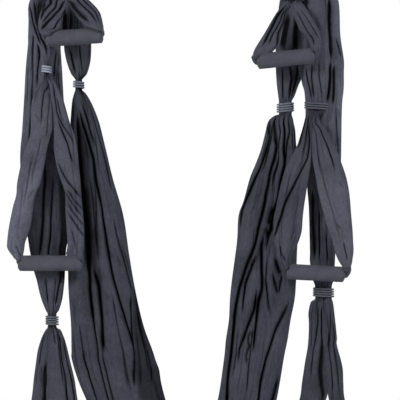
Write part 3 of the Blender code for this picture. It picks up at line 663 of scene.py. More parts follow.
def curve_between(p0, p1, p2, p3, t):
    """A smooth curve from p1 to p2 that p0 and p3 steer, for each number of a section."""
    return tuple(
        0.5 * (2 * b + (c - a) * t + (2 * a - 5 * b + 4 * c - d) * t * t
               + (3 * b - a - 3 * c + d) * t ** 3)
        for a, b, c, d in zip(p0, p1, p2, p3)
    )


def photo_point(x, y):
    """World x and drop under the bars, in metres, of a pixel of the photo."""
    return (PHOTO_MM * x + PHOTO_LEFT_MM) * MM, (PHOTO_TOP_DROP_MM + PHOTO_MM * y) * MM


# Sections of the cloths

# A cut through a cloth, tilted about y. Branch and drop say which outline it was read from,
# and how far under the bars.
Section = namedtuple("Section", "x y z half_width half_depth tilt branch drop",
                     defaults=(0.0, None, 0.0))


def level(side, row, y, half_depth, branch):
    """A level section from a (drop, left, right) row."""
    drop, left, right = row[:3]
    return Section(side["x"] + (left + right) / 2 * MM, y, BAR_Z - drop * MM,
                   (right - left) / 2 * MM, half_depth, 0.0, branch, drop * MM)


def upward(sections):
    """The same cloth followed from its lower end up, where its right edge lies on the left."""
    return [section._replace(tilt=math.pi - section.tilt) for section in reversed(sections)]


def neck_reach(turns):
    """Half the height of a neck under a band of that many turns."""
    return turns * CORD_PITCH / 2 + CORD_R + NECK_MARGIN


def hung_sections(side, key, neck_y, half_depth, below_neck):
    """A cloth from its sewn eye down into its neck, with a share of the neck's lower half."""
    strap, branch = side[key], side["name"]
    drop = BAR_R + EYE_EXIT
    sections = [Section(side["x"] + strap["eye"] * EYE_PITCH, 0.0, BAR_Z - drop,
                        EYE_WIDTH / 2 - EYE_EXIT_INSET, EYE_EXIT_HALF_DEPTH, 0.0, branch, drop)]
    easing = min(EYE_EASE_ROWS, len(strap["rows"]))
    for k, row in enumerate(strap["rows"]):
        sections.append(level(side, row, neck_y * min(1.0, (k + 1) / easing), half_depth, branch))
    centre, half_width, neck_half_depth, drop, turns = strap["neck"]
    for share in (-1.0, 0.0, 1.0):
        shift = neck_reach(turns) * min(share, below_neck)
        sections.append(Section(side["x"] + centre * MM, neck_y, BAR_Z - drop * MM - shift,
                                half_width * MM, neck_half_depth * MM, 0.0, branch,
                                drop * MM + shift))
    return sections


def grip_frame(side, key):
    """A grip's two ends, its direction to the right and its upward direction."""
    ends = [Vector((side["x"] + x * MM, 0, BAR_Z - drop * MM)) for x, drop in side[key]["grip"]]
    along = (ends[1] - ends[0]).normalized()
    return ends[0], ends[1], along, Vector((-along.z, 0, along.x))


def bulged(y, half_depth):
    """A deep bunch of cloth lies more to the front than to the back."""
    return y - BULGE * max(0.0, half_depth - BULGE_FROM)


def grip_bend(end, outward, up, y, tilts, reach, lap, shoulder):
    """The cloth beside a grip's end, lapping over its edge, then round and into its bore."""
    radius = (reach - BEND_CLEARANCE) / 2
    centre = end + outward * BEND_CLEARANCE + up * radius
    start, finish = tilts
    # Over the foam's edge, narrowing towards its end
    sections = []
    for lead, share, deep in ((BEND_LEAD, 1.0, shoulder), (0.0, 0.6, (shoulder + BEND_DEPTH) / 2)):
        over = lap * share / 2
        at = centre + outward * (radius - over) + up * lead
        sections.append(Section(at.x, bulged(y, deep), at.z, radius * (1.0 + 0.3 * share) + over,
                                deep, start))
    # A quarter turn into the bore, widening to its mouth
    for share, width in ((0.4, 1.0), (0.75, 1.3), (1.0, 2.0)):
        turn = share * math.pi / 2
        at = centre + outward * radius * math.cos(turn) - up * radius * math.sin(turn)
        sections.append(Section(at.x, y, at.z, min(BEND_MOUTH, radius * width), BEND_DEPTH,
                                start + (finish - start) * share))
    return sections


def loop_sections(side, key):
    """The loop's cloth: down its left strand, through the grip and up its right strand."""
    strap, layer = side[key], LAYERS[key]
    centre, neck_half, neck_depth, drop = (value * MM for value in strap["neck"][:4])
    turns = strap["neck"][4]
    left_end, right_end, along, up = grip_frame(side, key)
    tilt = math.atan2(along.z, along.x) + math.pi / 2
    half = neck_half / 2

    def strand(branch, sign):
        sections = []
        for shift, spread, deep in ((-NECK_OVERLAP, LOOP_TOP_SPREAD, LOOP_TOP_DEPTH),
                                    (1.0, 1.0, 1.0)):
            below = neck_reach(turns) * shift
            sections.append(Section(
                side["x"] + centre + sign * half * spread, layer.neck_y, BAR_Z - drop - below,
                half, neck_depth * deep, 0.0, branch, drop + below))
        rows = strap[branch]
        for k, row in enumerate(rows):
            ease = min(1.0, (k + 1) / min(LOOP_EASE_ROWS, len(rows)))
            y = layer.neck_y + (layer.loop_y - layer.neck_y) * ease
            deep = (row[3] * MM if len(row) > 3 else
                    neck_depth + (layer.loop_half_depth - neck_depth) * ease)
            sections.append(level(side, row, bulged(y, deep), deep, branch))
        return sections

    shoulder = strap["shoulder"] * MM
    left_bend, right_bend = [[value * MM for value in bend] for bend in strap["bends"]]
    inset = along * ROPE_INSET
    return [
        *strand("left_strand", -1),
        *grip_bend(left_end, -along, up, layer.loop_y, (0.0, tilt), *left_bend, shoulder),
        *(Section(at.x, layer.loop_y, at.z, ROPE_R, ROPE_R, tilt)
          for at in (left_end + inset, (left_end + right_end) / 2, right_end - inset)),
        *reversed(grip_bend(right_end, along, up, layer.loop_y, (math.pi, tilt), *right_bend,
                            shoulder)),
        *upward(strand("right_strand", 1)),
    ]


def seat_sections():
    """The seat cloth's left side, its seat from left to right, and its right side, upward."""

    def side_sections(side):
        strap = side["sling"]
        sections = hung_sections(side, "sling", SLING_TOP_Y, SLING_TOP_HALF_DEPTH, 1.0)
        last, first = strap["below"][-1][0], strap["neck"][3]
        for row in strap["below"]:
            y = SLING_TOP_Y + (SEAT_TOP_Y - SLING_TOP_Y) * (row[0] - first) / (last - first)
            sections.append(level(side, row, y, row[3] * MM, side["name"]))
        return sections

    def under_sections(side):
        return [Section(side["x"] + x * MM, SEAT_SIDE_Y, BAR_Z - drop * MM, half_width * MM,
                        half_depth * MM, math.radians(tilt), side["name"], drop * MM)
                for x, drop, half_width, half_depth, tilt in side["sling"]["under"]]

    middle = HANG_SPACING / 2 + SEAT_OFFSET
    arc_drop = SEAT_BOTTOM_DROP - SEAT_R
    bottom = []
    for degrees, half_width in SEAT_ARC:
        tilt = math.radians(degrees)
        bottom.append(Section(middle - SEAT_R * math.cos(tilt), SEAT_Y,
                              BAR_Z - arc_drop - SEAT_R * math.sin(tilt), half_width * MM,
                              SEAT_HALF_DEPTH, tilt))
    return (side_sections(LEFT), under_sections(LEFT) + bottom + under_sections(RIGHT),
            upward(side_sections(RIGHT)))


class Run:
    """A cloth's length: rows close together through its sections, and how far along each is."""

    def __init__(self, sections, step):
        cuts = [section[:6] for section in sections]
        last = len(cuts) - 1
        rows, kept = [], []
        for i in range(last):
            around = [cuts[max(0, min(last, i + k))] for k in (-1, 0, 1, 2)]
            length = (Vector(around[2][:3]) - Vector(around[1][:3])).length
            count = max(1, math.ceil(length / step))
            kept.append(len(rows))
            rows += [curve_between(*around, k / count) for k in range(count)]
        kept.append(len(rows))
        self.sections = sections
        self.rows = np.array(rows + [cuts[-1]])
        steps = np.linalg.norm(np.diff(self.rows[:, :3], axis=0), axis=1)
        self.along = np.concatenate([[0.0], np.cumsum(steps)])
        self.at_sections = self.along[kept]

    def marks(self, branch):
        """The drop of each section of a branch, and its distance along the cloth."""
        return [(section.drop, v) for section, v in zip(self.sections, self.at_sections)
                if section.branch == branch]

    def seen_path(self, branch, points):
        """A line of photo pixels as (distance along the cloth, place across it from -1 to 1),
        and which way the cloth's right edge lies."""
        drops, places = zip(*sorted(self.marks(branch)))
        path = []
        for px, py in points:
            x, drop = photo_point(px, py)
            v = np.interp(drop, drops, places)
            centre, half, tilt = (np.interp(v, self.along, self.rows[:, k]) for k in (0, 3, 5))
            path.append((v, (x - centre) / half * math.cos(tilt)))
        return np.array(sorted(path)), (1 if math.cos(tilt) > 0 else -1)

    def painted_light_through(self, branch):
        """How much painted light a strand that hangs clear of the rest gets, as if light came
        through it, for each row.
        """
        places, drops = zip(*sorted((v, drop) for drop, v in self.marks(branch)))
        seen = np.interp(self.along, places, drops, left=0.0, right=0.0)
        return smooth((seen - CLEAR_FROM) / CLEAR_OVER)

    def painted_light_and_shade_by_drop(self, tables):
        """The painted light and shade in the cloth's colour at each row, from its branches' tables.
        """
        marks = []
        for branch, table in tables.items():
            drops, tones = zip(*table)
            marks += [(v, np.interp(drop / MM, drops, tones)) for drop, v in self.marks(branch)]
        places, tones = zip(*sorted(marks))
        return np.interp(self.along, places, tones)


# Creases and pleats

def loose_creases(rng, length, widest, count):
    """Short lengthwise creases, scattered over the cloth."""
    made = []
    for _ in range(count):
        start = rng.uniform(-0.05, length)
        reach = rng.uniform(0.04, 0.20)
        place = rng.uniform(-0.95, 0.95)
        drift = rng.uniform(-1, 1) * 0.006 / widest + rng.uniform(-0.05, 0.05)
        bow = rng.uniform(-0.03, 0.03)
        line = np.array([(start, place), (start + reach / 2, place + drift / 2 + bow),
                         (start + reach, place + drift)])
        made.append((line, rng.uniform(0.6, 1.1) * MM, rng.uniform(1.0, 3.4) * MM,
                     rng.choice((-1, 0, 1))))
    return made


def puckers(rng, length, widest, count):
    """Short slanting creases where the cloth is bunched."""
    made = []
    for _ in range(count):
        start = rng.uniform(0.0, length)
        reach = rng.uniform(0.014, 0.035)
        place = rng.uniform(-0.85, 0.85)
        drift = rng.choice((-1, 1)) * rng.uniform(0.006, 0.016) / widest
        line = np.array([(start, place), (start + reach, place + drift)])
        made.append((line, rng.uniform(0.7, 1.1) * MM, rng.uniform(1.0, 2.6) * MM,
                     rng.choice((-1, 1))))
    return made


def crease_lines(run, creases, rng, widest, seat_ends):
    """A cloth's creases as (line along and across it, half width, depth, lean): those seen in
    the photo, the scattered ones, and on the seat cloth the folds round its seat."""
    lines = []
    for branch, seen in creases.items():
        if run.marks(branch):
            for width, deep, lean, points in seen:
                path, facing = run.seen_path(branch, points)
                lines.append((path, width * MM, deep * MM, lean * facing))
    length = float(run.along[-1])
    area = length * widest * 2
    lines += loose_creases(rng, length, widest, int(area / CREASE_AREA))
    lines += puckers(rng, length, widest, int(area / PUCKER_AREA))
    if seat_ends:
        first, last = (run.at_sections[end] for end in seat_ends)
        for width, deep, lean, points in SEAT_FOLDS:
            path = np.array([(first + (last - first) * share, place) for share, place in points])
            lines.append((path, width * MM, deep * MM, lean))
    return lines


def crease_relief(creases, across, half, along, seed):
    """How far the creases draw the cloth in, and how closed they are, over its rows and columns.
    How closed they are is a mask of painted shade in the creases.
    """
    relief = np.zeros((len(along), len(across)))
    closed = np.zeros((len(along), len(across)))
    for k, (line, width, depth, lean) in enumerate(creases):
        rows = (along > line[0, 0]) & (along < line[-1, 0])
        if rows.sum() < 3:
            continue
        v = along[rows]
        waver = noise_field(v / WAVER_LENGTH + 3.1 * k, v * 0 + k, seed) - 0.5
        place = np.interp(v, line[:, 0], line[:, 1]) * half[rows] + waver * WAVER_MM * MM
        fade = max(FADE_LEAST, min(FADE_MOST, (line[-1, 0] - line[0, 0]) * FADE_SHARE))
        strength = smooth((v - line[0, 0]) / fade) * smooth((line[-1, 0] - v) / fade)
        varied = noise_field(v / VARY_LENGTH + 7.7 * k, v * 0 + 5 + k, seed)
        strength = strength * (0.75 + 0.5 * varied)
        t = across[None, :] * half[rows, None] - place[:, None]
        slant = np.gradient(place) * 0.9
        apart = np.abs(t) / np.hypot(width * (0.5 + 0.5 * strength), slant)[:, None]
        shoulder = np.exp(-np.abs(t) / (ROUND_SIDE + 0.5 * depth))
        if lean:
            shoulder = np.where(t * lean > 0, shoulder, np.exp(-np.abs(t) / SHARP_SIDE))
        relief[rows] += strength[:, None] * depth * 0.55 * (1 / (1 + apart ** 4) + shoulder)
        # How closed the crease is: a mask of painted shade, darkest in narrow deep creases
        closed[rows] += strength[:, None] * min(1.0, depth / CREASE_PAINTED_SHADE_DEPTH) / (1 + apart ** 3)
    return relief, np.minimum(CREASE_PAINTED_SHADE_GAIN * closed, 1.0)


def fan_relief(rng, across, along, neck_at):
    """Pleats that fan out from a neck, each a share of the cloth's width."""
    relief = np.zeros((len(along), len(across)))
    for i in range(FAN_PLEATS):
        place = -0.92 + 1.84 * (i + rng.uniform(0.2, 0.8)) / FAN_PLEATS
        up, down = FAN_REACH * rng.uniform(0.4, 1.0), FAN_REACH * rng.uniform(0.4, 1.0)
        away = np.where(along < neck_at, (neck_at - along) / up, (along - neck_at) / down)
        strength = (1 - smooth(away)) * rng.uniform(0.5, 1.0)
        place_there = (place * (1 - 0.1 * np.minimum(away, 1.0)))[:, None]
        t = (across[None, :] - place_there) / rng.uniform(0.03, 0.05)
        pleat = 0.6 / (1 + t ** 4) + 0.4 * np.exp(-np.abs(t) / 2.2)
        relief += FAN_DEPTH * strength[:, None] * pleat
    return relief


def turned_back(line, across, along):
    """How far the cloth has turned back, from 0 at a line to 1 at its right edge."""
    place = np.interp(along, line[:, 0], line[:, 1])
    share = np.clip((across[None, :] - place[:, None]) / (1 - place[:, None]), 0, 1)
    strength = (smooth((along - line[0, 0]) / BACK_BEGIN)
                * smooth((line[-1, 0] - along) / BACK_END))
    strength = strength * np.clip((1 - place) / BACK_NARROW, 0, 1)
    return strength[:, None] * share


# Cloth meshes

def round_share(across):
    """A section's depth at each place across it, as a share of its greatest."""
    return (1 - np.abs(across) ** ROUNDNESS) ** 0.5


def cloth_strip(sections, creases, necks, seed, pleats, step, tones, clear=None, seat_ends=None):
    """Vertices, quads, cloth coordinates and painted light and shade of one gathered cloth, creased
    in front and pleated behind. Necks and seat_ends are places in its list of sections, clear is
    the branch that gets painted light as if light came through it, and tones is the painted light
    and shade, one number or a table for each branch."""
    rng = random.Random(seed)
    run = Run(sections, step)
    rows, along = run.rows, run.along
    half, depth = np.abs(rows[:, 3]), np.abs(rows[:, 4])
    widest = float(half.max())
    lines = crease_lines(run, creases, rng, widest, seat_ends)
    back_line = run.seen_path(*TURNED_BACK)[0] if seat_ends else None
    fans = [(rng.random(), float(run.at_sections[index])) for index in necks]

    def front_depth(across):
        grid = (len(along), len(across))
        metres = np.broadcast_to(across, grid) * widest
        ahead = np.broadcast_to(along[:, None], grid)

        def uneven(cell, shift, draw, sideways=0.0):
            return noise_field((metres + sideways) / cell[0] + shift, ahead / cell[1], seed + draw)

        shell = round_share(across)
        squeeze = np.clip(half / widest * 1.6, 0.25, 1.0)[:, None]
        relief, closed = crease_relief(lines, across, half, along, seed)
        relief = relief * np.clip(depth / THIN_CLOTH, 0.4, 1.0)[:, None]
        for start, neck_at in fans:
            relief += fan_relief(random.Random(start), across, along, neck_at)
        if seat_ends:
            back = turned_back(back_line, across, along)
            relief += depth[:, None] * (BACK_STEP * smooth(back / 0.12) + BACK_SLOPE * back)
            # Painted shade where the cloth turns back and faces away from the light
            closed = 1 - (1 - closed) * (1 - BACK_SHADE * smooth(back / 0.10))
        wander = uneven(WANDER_CELL, 11, 5) * WANDER
        lobes = 1 - ridged(uneven(LOBE_CELL, 9, 0, wander))
        dents = uneven(DENT_CELL, 5, 1, -wander)
        swell = uneven(SWELL_CELL, 3, 2) - 0.5
        relief += (LOBE_MM * lobes + DENT_MM * dents + SWELL_MM * swell) * MM * squeeze
        outer = -depth[:, None] * shell
        limit = np.maximum(depth[:, None] * (shell - 0.15) - LAYER_GAP,
                           outer + 0.3 * depth[:, None])
        return np.minimum(outer + relief * shell ** 0.35, limit), closed

    # Columns stand closer together towards both edges
    turn = np.linspace(0, 1, max(LEAST_COLUMNS, int(2 * widest / COLUMN_STEP)) + 1)
    front = 0.80 * (2 * turn - 1) - 0.20 * np.cos(math.pi * turn)
    back_turn = np.linspace(1, 0, pleats * PLEAT_COLUMNS + 1)
    back = 0.75 * (2 * back_turn - 1) - 0.25 * np.cos(math.pi * back_turn)

    front_y, closed = front_depth(front)
    inner = front_depth(back)[0] + LAYER_GAP
    outer = np.maximum(depth[:, None] * round_share(back)[None, :], inner)
    sway = noise_field(np.broadcast_to(back_turn * pleats * SWAY_CELLS, inner.shape),
                       np.broadcast_to(along[:, None] / SWAY_LENGTH, inner.shape), seed + 3)
    wave = 0.5 - 0.5 * np.cos(2 * math.pi * (back_turn * pleats + PLEAT_SWAY * (sway - 0.5)))
    back_y = outer - (outer - inner) * wave ** PLEAT_FOLD

    # Painted shade in closed creases and in the folds between the back's pleats
    tone = 1 - FOLD_SHADE * np.concatenate([closed, PLEAT_SHADE * wave ** 6], axis=1)
    # Painted light on a strand that hangs clear, as if light came through it
    if clear:
        tone *= 1 + CLEAR_LIGHT * run.painted_light_through(clear)[:, None]
    # Each cloth's painted light and shade, lighter or darker down it, or one number for a loop
    tone *= run.painted_light_and_shade_by_drop(tones)[:, None] if isinstance(tones, dict) else tones

    sideways = np.concatenate([front, back])[None, :] * half[:, None]
    tilt = rows[:, 5:6]
    verts = np.stack([
        rows[:, 0:1] + sideways * np.cos(tilt),
        rows[:, 1:2] + np.concatenate([front_y, back_y], axis=1),
        rows[:, 2:3] + sideways * np.sin(tilt),
    ], axis=-1).reshape(-1, 3)
    metres = np.concatenate([front * widest, 2 * widest + (1 - back_turn) * pleats * PLEAT_CLOTH])
    grid = sideways.shape
    uv = np.stack([np.broadcast_to(metres, grid), np.broadcast_to(along[:, None], grid)],
                  axis=-1).reshape(-1, 2)
    height, total = grid
    i, j = np.meshgrid(np.arange(height - 1), np.arange(total - 1), indexing="ij")
    first = (i * total + j).ravel()
    quads = np.stack([first, first + 1, first + total + 1, first + total], axis=-1)
    return verts, quads, uv, tone.ravel()


def add_object(name, data):
    made = bpy.data.objects.new(name, data)
    bpy.context.scene.collection.objects.link(made)
    return made


# The cloth's painted light and shade, as a point attribute that the cloth material multiplies into
# its colour
def set_painted_light_and_shade(mesh, tones):
    mesh.attributes.new("tone", "FLOAT", "POINT").data.foreach_set("value", tones)


def strip_object(name, strips):
    """One object from several strips of the same cloth."""
    verts, quads, uvs, tones, base = [], [], [], [], 0
    for v, f, uv, tone in strips:
        verts.append(v)
        quads.append(f + base)
        uvs.append(uv + np.array([STRIP_CLOTH_APART * len(uvs), 0.0]))
        tones.append(tone)
        base += len(v)
    verts, quads, uvs, tones = (np.concatenate(group) for group in (verts, quads, uvs, tones))
    mesh = bpy.data.meshes.new(name)
    mesh.vertices.add(len(verts))
    mesh.vertices.foreach_set("co", verts.astype(np.float32).ravel())
    mesh.loops.add(quads.size)
    mesh.loops.foreach_set("vertex_index", quads.astype(np.int32).ravel())
    mesh.polygons.add(len(quads))
    mesh.polygons.foreach_set("loop_start", np.arange(0, quads.size, 4, dtype=np.int32))
    mesh.update(calc_edges=True)
    layer = mesh.uv_layers.new(name="cloth")
    layer.data.foreach_set("uv", uvs[quads.ravel()].astype(np.float32).ravel())
    set_painted_light_and_shade(mesh, tones.astype(np.float32))
    mesh.shade_smooth()
    return add_object(name, mesh)


# Shader nodes

def connect(tree, made, inputs):
    """Give a node its inputs: plain values, or the nodes and sockets that they are linked to."""
    for key, value in inputs.items():
        if isinstance(value, bpy.types.Node):
            value = value.outputs[0]
        if isinstance(value, bpy.types.NodeSocket):
            tree.links.new(value, made.inputs[key])
        else:
            made.inputs[key].default_value = value


def node(tree, kind, inputs=None, **settings):
    """A node with its settings and its inputs."""
    made = tree.nodes.new(kind)
    for key, value in settings.items():
        setattr(made, key, value)
    connect(tree, made, inputs or {})
    return made


def maths(tree, operation, *values):
    return node(tree, "ShaderNodeMath", dict(enumerate(values)), operation=operation)


def stretched(tree, vector, scale):
    return node(tree, "ShaderNodeVectorMath", {0: vector, 1: scale}, operation="MULTIPLY")


def noise(tree, vector, scale, detail, roughness, distortion=0.0):
    return node(tree, "ShaderNodeTexNoise", {"Vector": vector, "Scale": scale, "Detail": detail,
                                             "Roughness": roughness, "Distortion": distortion})


def remap(tree, value, start, end, low=0.0, high=1.0):
    return node(tree, "ShaderNodeMapRange", {"Value": value, "From Min": start, "From Max": end,
                                             "To Min": low, "To Max": high})


def mixed_colour(tree, share, first, second, blend_type="MIX"):
    return node(tree, "ShaderNodeMix", {"Factor": share, 6: first, 7: second},
                data_type="RGBA", blend_type=blend_type).outputs[2]


def group_node(tree, group, **inputs):
    return node(tree, "ShaderNodeGroup", inputs, node_tree=group)


def new_group(name, given, results):
    """A shader group that takes a vector and the given values: its tree, the sockets of what it
    takes, and the node for its results."""
    kinds = {1: "NodeSocketFloat", 3: "NodeSocketVector", 4: "NodeSocketColor"}
    group = bpy.data.node_groups.new(name, "ShaderNodeTree")
    group.interface.new_socket("Vector", in_out="INPUT", socket_type="NodeSocketVector")
    for socket, value in given.items():
        made = group.interface.new_socket(socket, in_out="INPUT", socket_type=kinds[np.size(value)])
        made.default_value = value
    for socket, size in results.items():
        group.interface.new_socket(socket, in_out="OUTPUT", socket_type=kinds[size])
    return (group, group.nodes.new("NodeGroupInput").outputs,
            group.nodes.new("NodeGroupOutput"))


def crinkle_group():
    """Fine lengthwise crinkles of washed nylon: a height, and a mask from it that paints light on
    their ridges and shade between them.
    """
    group, given, out = new_group(
        "lengthwise_crinkle", {"Across": 200.0, "Along": 22.0, "Twist": 1.2},
        {"Height": 1, "Painted_Ridge_Shading": 1})
    scale = node(group, "ShaderNodeCombineXYZ", {0: given["Across"], 1: given["Along"], 2: 1.0})
    cloth = stretched(group, given["Vector"], scale)
    broad = noise(group, cloth, 1.0, 3.0, 0.55, given["Twist"])
    fine = noise(group, cloth, 2.7, 4.0, 0.6, 0.6)
    height = maths(group, "MULTIPLY_ADD", fine, 0.45, broad)
    connect(group, out, {"Height": height, "Painted_Ridge_Shading": remap(group, height, 0.50, 0.95)})
    return group


def weave_group():
    """A plain weave from two crossed waves: a height."""
    group, given, out = new_group("plain_weave", {"Threads": 1600.0}, {"Height": 1})
    parts = node(group, "ShaderNodeSeparateXYZ", {0: given["Vector"]})
    waves = [maths(group, "SINE", maths(group, "MULTIPLY", parts.outputs[axis], given["Threads"]))
             for axis in (0, 1)]
    crossed = maths(group, "MULTIPLY", *waves)
    connect(group, out, {"Height": maths(group, "MULTIPLY_ADD", crossed, 0.5, 0.5)})
    return group


def mottle_group():
    """Two tones of one colour, mixed by soft uneven patches."""
    group, given, out = new_group(
        "uneven_tone",
        {"Scale": 18.0, "Dark": (0.05, 0.05, 0.06, 1.0), "Light": (0.09, 0.09, 0.11, 1.0)},
        {"Color": 4, "Patches": 1})
    patches = remap(group, noise(group, given["Vector"], given["Scale"], 4.0, 0.6), 0.32, 0.68)
    connect(group, out, {"Color": mixed_colour(group, patches, given["Dark"], given["Light"]),
                         "Patches": patches})
    return group


def grain_group():
    """Fine even grain of foam, moulded plastic or plated metal: a height."""
    group, given, out = new_group("fine_grain", {"Scale": 900.0, "Stretch": (1.0, 1.0, 1.0)},
                                  {"Height": 1})
    surface = stretched(group, given["Vector"], given["Stretch"])
    connect(group, out, {"Height": noise(group, surface, given["Scale"], 3.0, 0.65)})
    return group


CRINKLE = crinkle_group()
WEAVE = weave_group()
MOTTLE = mottle_group()
GRAIN = grain_group()


# Materials

def new_material(name, on_cloth, scale, dark, light):
    """A material, its tree, shader and coordinates, and a colour that drifts between two tones."""
    made = bpy.data.materials.new(name)
    made.use_nodes = True
    tree = made.node_tree
    coords = (node(tree, "ShaderNodeUVMap", uv_map="cloth").outputs[0] if on_cloth else
              node(tree, "ShaderNodeTexCoord").outputs["Object"])
    tone = group_node(tree, MOTTLE, Vector=coords, Scale=scale, Dark=(*dark, 1.0),
                      Light=(*light, 1.0))
    return made, tree, tree.nodes["Principled BSDF"], coords, tone


def bump(tree, height, distance, strength, **under):
    return node(tree, "ShaderNodeBump",
                {"Height": height, "Distance": distance, "Strength": strength, **under})


def cloth_material():
    made, tree, shader, coords, tone = new_material(
        "charcoal_nylon", True, 14.0, (0.064, 0.064, 0.085), (0.098, 0.098, 0.128))
    crinkle = group_node(tree, CRINKLE, Vector=coords, Across=270.0, Along=130.0, Twist=1.6)
    # Painted light on the crinkles' ridges and painted shade between them, multiplied into the
    # colour
    ridges = remap(tree, crinkle.outputs["Painted_Ridge_Shading"], 0.0, 1.0, 0.74, 1.22)
    # The painted light and shade from the cloth mesh, multiplied into the base colour
    given = node(tree, "ShaderNodeAttribute", attribute_name="tone").outputs["Fac"]
    colour_with_painted_light_and_shade = mixed_colour(tree, 1.0, tone, maths(tree, "MULTIPLY", ridges, given), "MULTIPLY")
    weave = bump(tree, group_node(tree, WEAVE, Vector=coords, Threads=5200.0), 0.00005, 0.3)
    connect(tree, shader, {"Base Color": colour_with_painted_light_and_shade, "Roughness": 0.74, "Specular IOR Level": 0.04,
                           "Normal": bump(tree, crinkle, 0.0011, 1.0, Normal=weave)})
    return made


def foam_or_tube_material(name, scale, dark, light, roughness, specular, grain, height, strength):
    """Moulded foam or plastic, with a fine grain."""
    made, tree, shader, coords, tone = new_material(name, False, scale, dark, light)
    relief = bump(tree, group_node(tree, GRAIN, Vector=coords, Scale=grain), height, strength)
    connect(tree, shader, {"Base Color": tone, "Roughness": roughness,
                           "Specular IOR Level": specular, "Normal": relief})
    return made


def cord_material(name, dark, light):
    made, tree, shader, coords, tone = new_material(name, True, 160.0, dark, light)
    relief = bump(tree, group_node(tree, WEAVE, Vector=coords, Threads=4200.0), 0.00012, 0.7)
    connect(tree, shader, {"Base Color": tone, "Roughness": 0.48, "Specular IOR Level": 0.4,
                           "Normal": relief})
    return made


def metal_material(name, dark, light, roughness, stretch):
    made, tree, shader, coords, tone = new_material(name, False, 90.0, dark, light)
    worn = remap(tree, tone.outputs["Patches"], 0.0, 1.0, roughness - 0.08, roughness + 0.10)
    grain = group_node(tree, GRAIN, Vector=coords, Scale=900.0, Stretch=stretch)
    connect(tree, shader, {"Base Color": tone, "Roughness": worn, "Metallic": 1.0,
                           "Normal": bump(tree, grain, 0.00008, 0.5)})
    return made


def floor_material():
    made, tree, shader, _, tone = new_material(
        "pale_floor_paint", False, 3.0, (0.86, 0.86, 0.86), (0.90, 0.90, 0.90))
    connect(tree, shader, {"Base Color": tone, "Roughness": 0.7})
    return made


CLOTH = cloth_material()
FOAM = foam_or_tube_material("charcoal_foam", 60.0, (0.068, 0.069, 0.088), (0.086, 0.087, 0.110),
                             0.86, 0.12, 1500.0, 0.0002, 0.6)
TUBE = foam_or_tube_material("clear_tube_rim", 220.0, (0.06, 0.06, 0.07), (0.14, 0.14, 0.16),
                             0.35, 0.3, 700.0, 0.00006, 0.5)
STEEL = metal_material("zinc_plated_steel", (0.38, 0.39, 0.41), (0.55, 0.56, 0.58), 0.30,
                       (1.0, 1.0, 0.08))
BLACK = metal_material("black_anodised", (0.020, 0.020, 0.022), (0.045, 0.045, 0.048), 0.42,
                       (1.0, 1.0, 1.0))
CORDS = {
    "silver": cord_material("silver_cord", (0.24, 0.26, 0.33), (0.36, 0.39, 0.50)),
    "grey": cord_material("grey_cord", (0.09, 0.10, 0.125), (0.16, 0.175, 0.215)),
    "slate": cord_material("slate_cord", (0.060, 0.066, 0.084), (0.105, 0.115, 0.145)),
    "dark": cord_material("dark_cord", (0.040, 0.044, 0.056), (0.080, 0.088, 0.110)),
}


def dress(piece, material, body, slot, *nodes):
    """Give a piece its material, the body that it rides on and the nodes it replaces. Its slot is
    not used.
    """
    piece.data.materials.clear()
    piece.data.materials.append(material)
    if body:
        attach(piece, body)
    if nodes:
        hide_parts(*nodes)


# Grips and bands

def bmesh_object(name, bm):
    """An object of a bmesh, which it uses up."""
    mesh = bpy.data.meshes.new(name)
    bm.to_mesh(mesh)
    bm.free()
    return add_object(name, mesh)


def ring(bm, centre, radius, side, up, count):
    return [bm.verts.new(centre + radius * (side * math.cos(2 * math.pi * i / count)
                                            + up * math.sin(2 * math.pi * i / count)))
            for i in range(count)]


def join_rings(bm, first, second):
    """The faces between two rings, in the order of the first ring's vertices."""
    following = [(k + 1) % len(first) for k in range(len(first))]
    return [bm.faces.new((first[i], first[j], second[j], second[i]))
            for i, j in enumerate(following)]


def turned(name, profile, segments, axis, place):
    """A closed ring turned about an axis from an (along, radius) outline."""
    axis = Vector(axis).normalized()
    side = axis.orthogonal().normalized()
    up = axis.cross(side)
    bm = bmesh.new()
    rings = [ring(bm, place + axis * along, radius, side, up, segments)
             for along, radius in profile]
    for first, second in zip(rings, rings[1:] + rings[:1]):
        join_rings(bm, first, second)
    bmesh.ops.recalc_face_normals(bm, faces=bm.faces)
    made = bmesh_object(name, bm)
    made.data.shade_smooth()
    made.data.set_sharp_from_angle(angle=SHARP_EDGE)
    return made


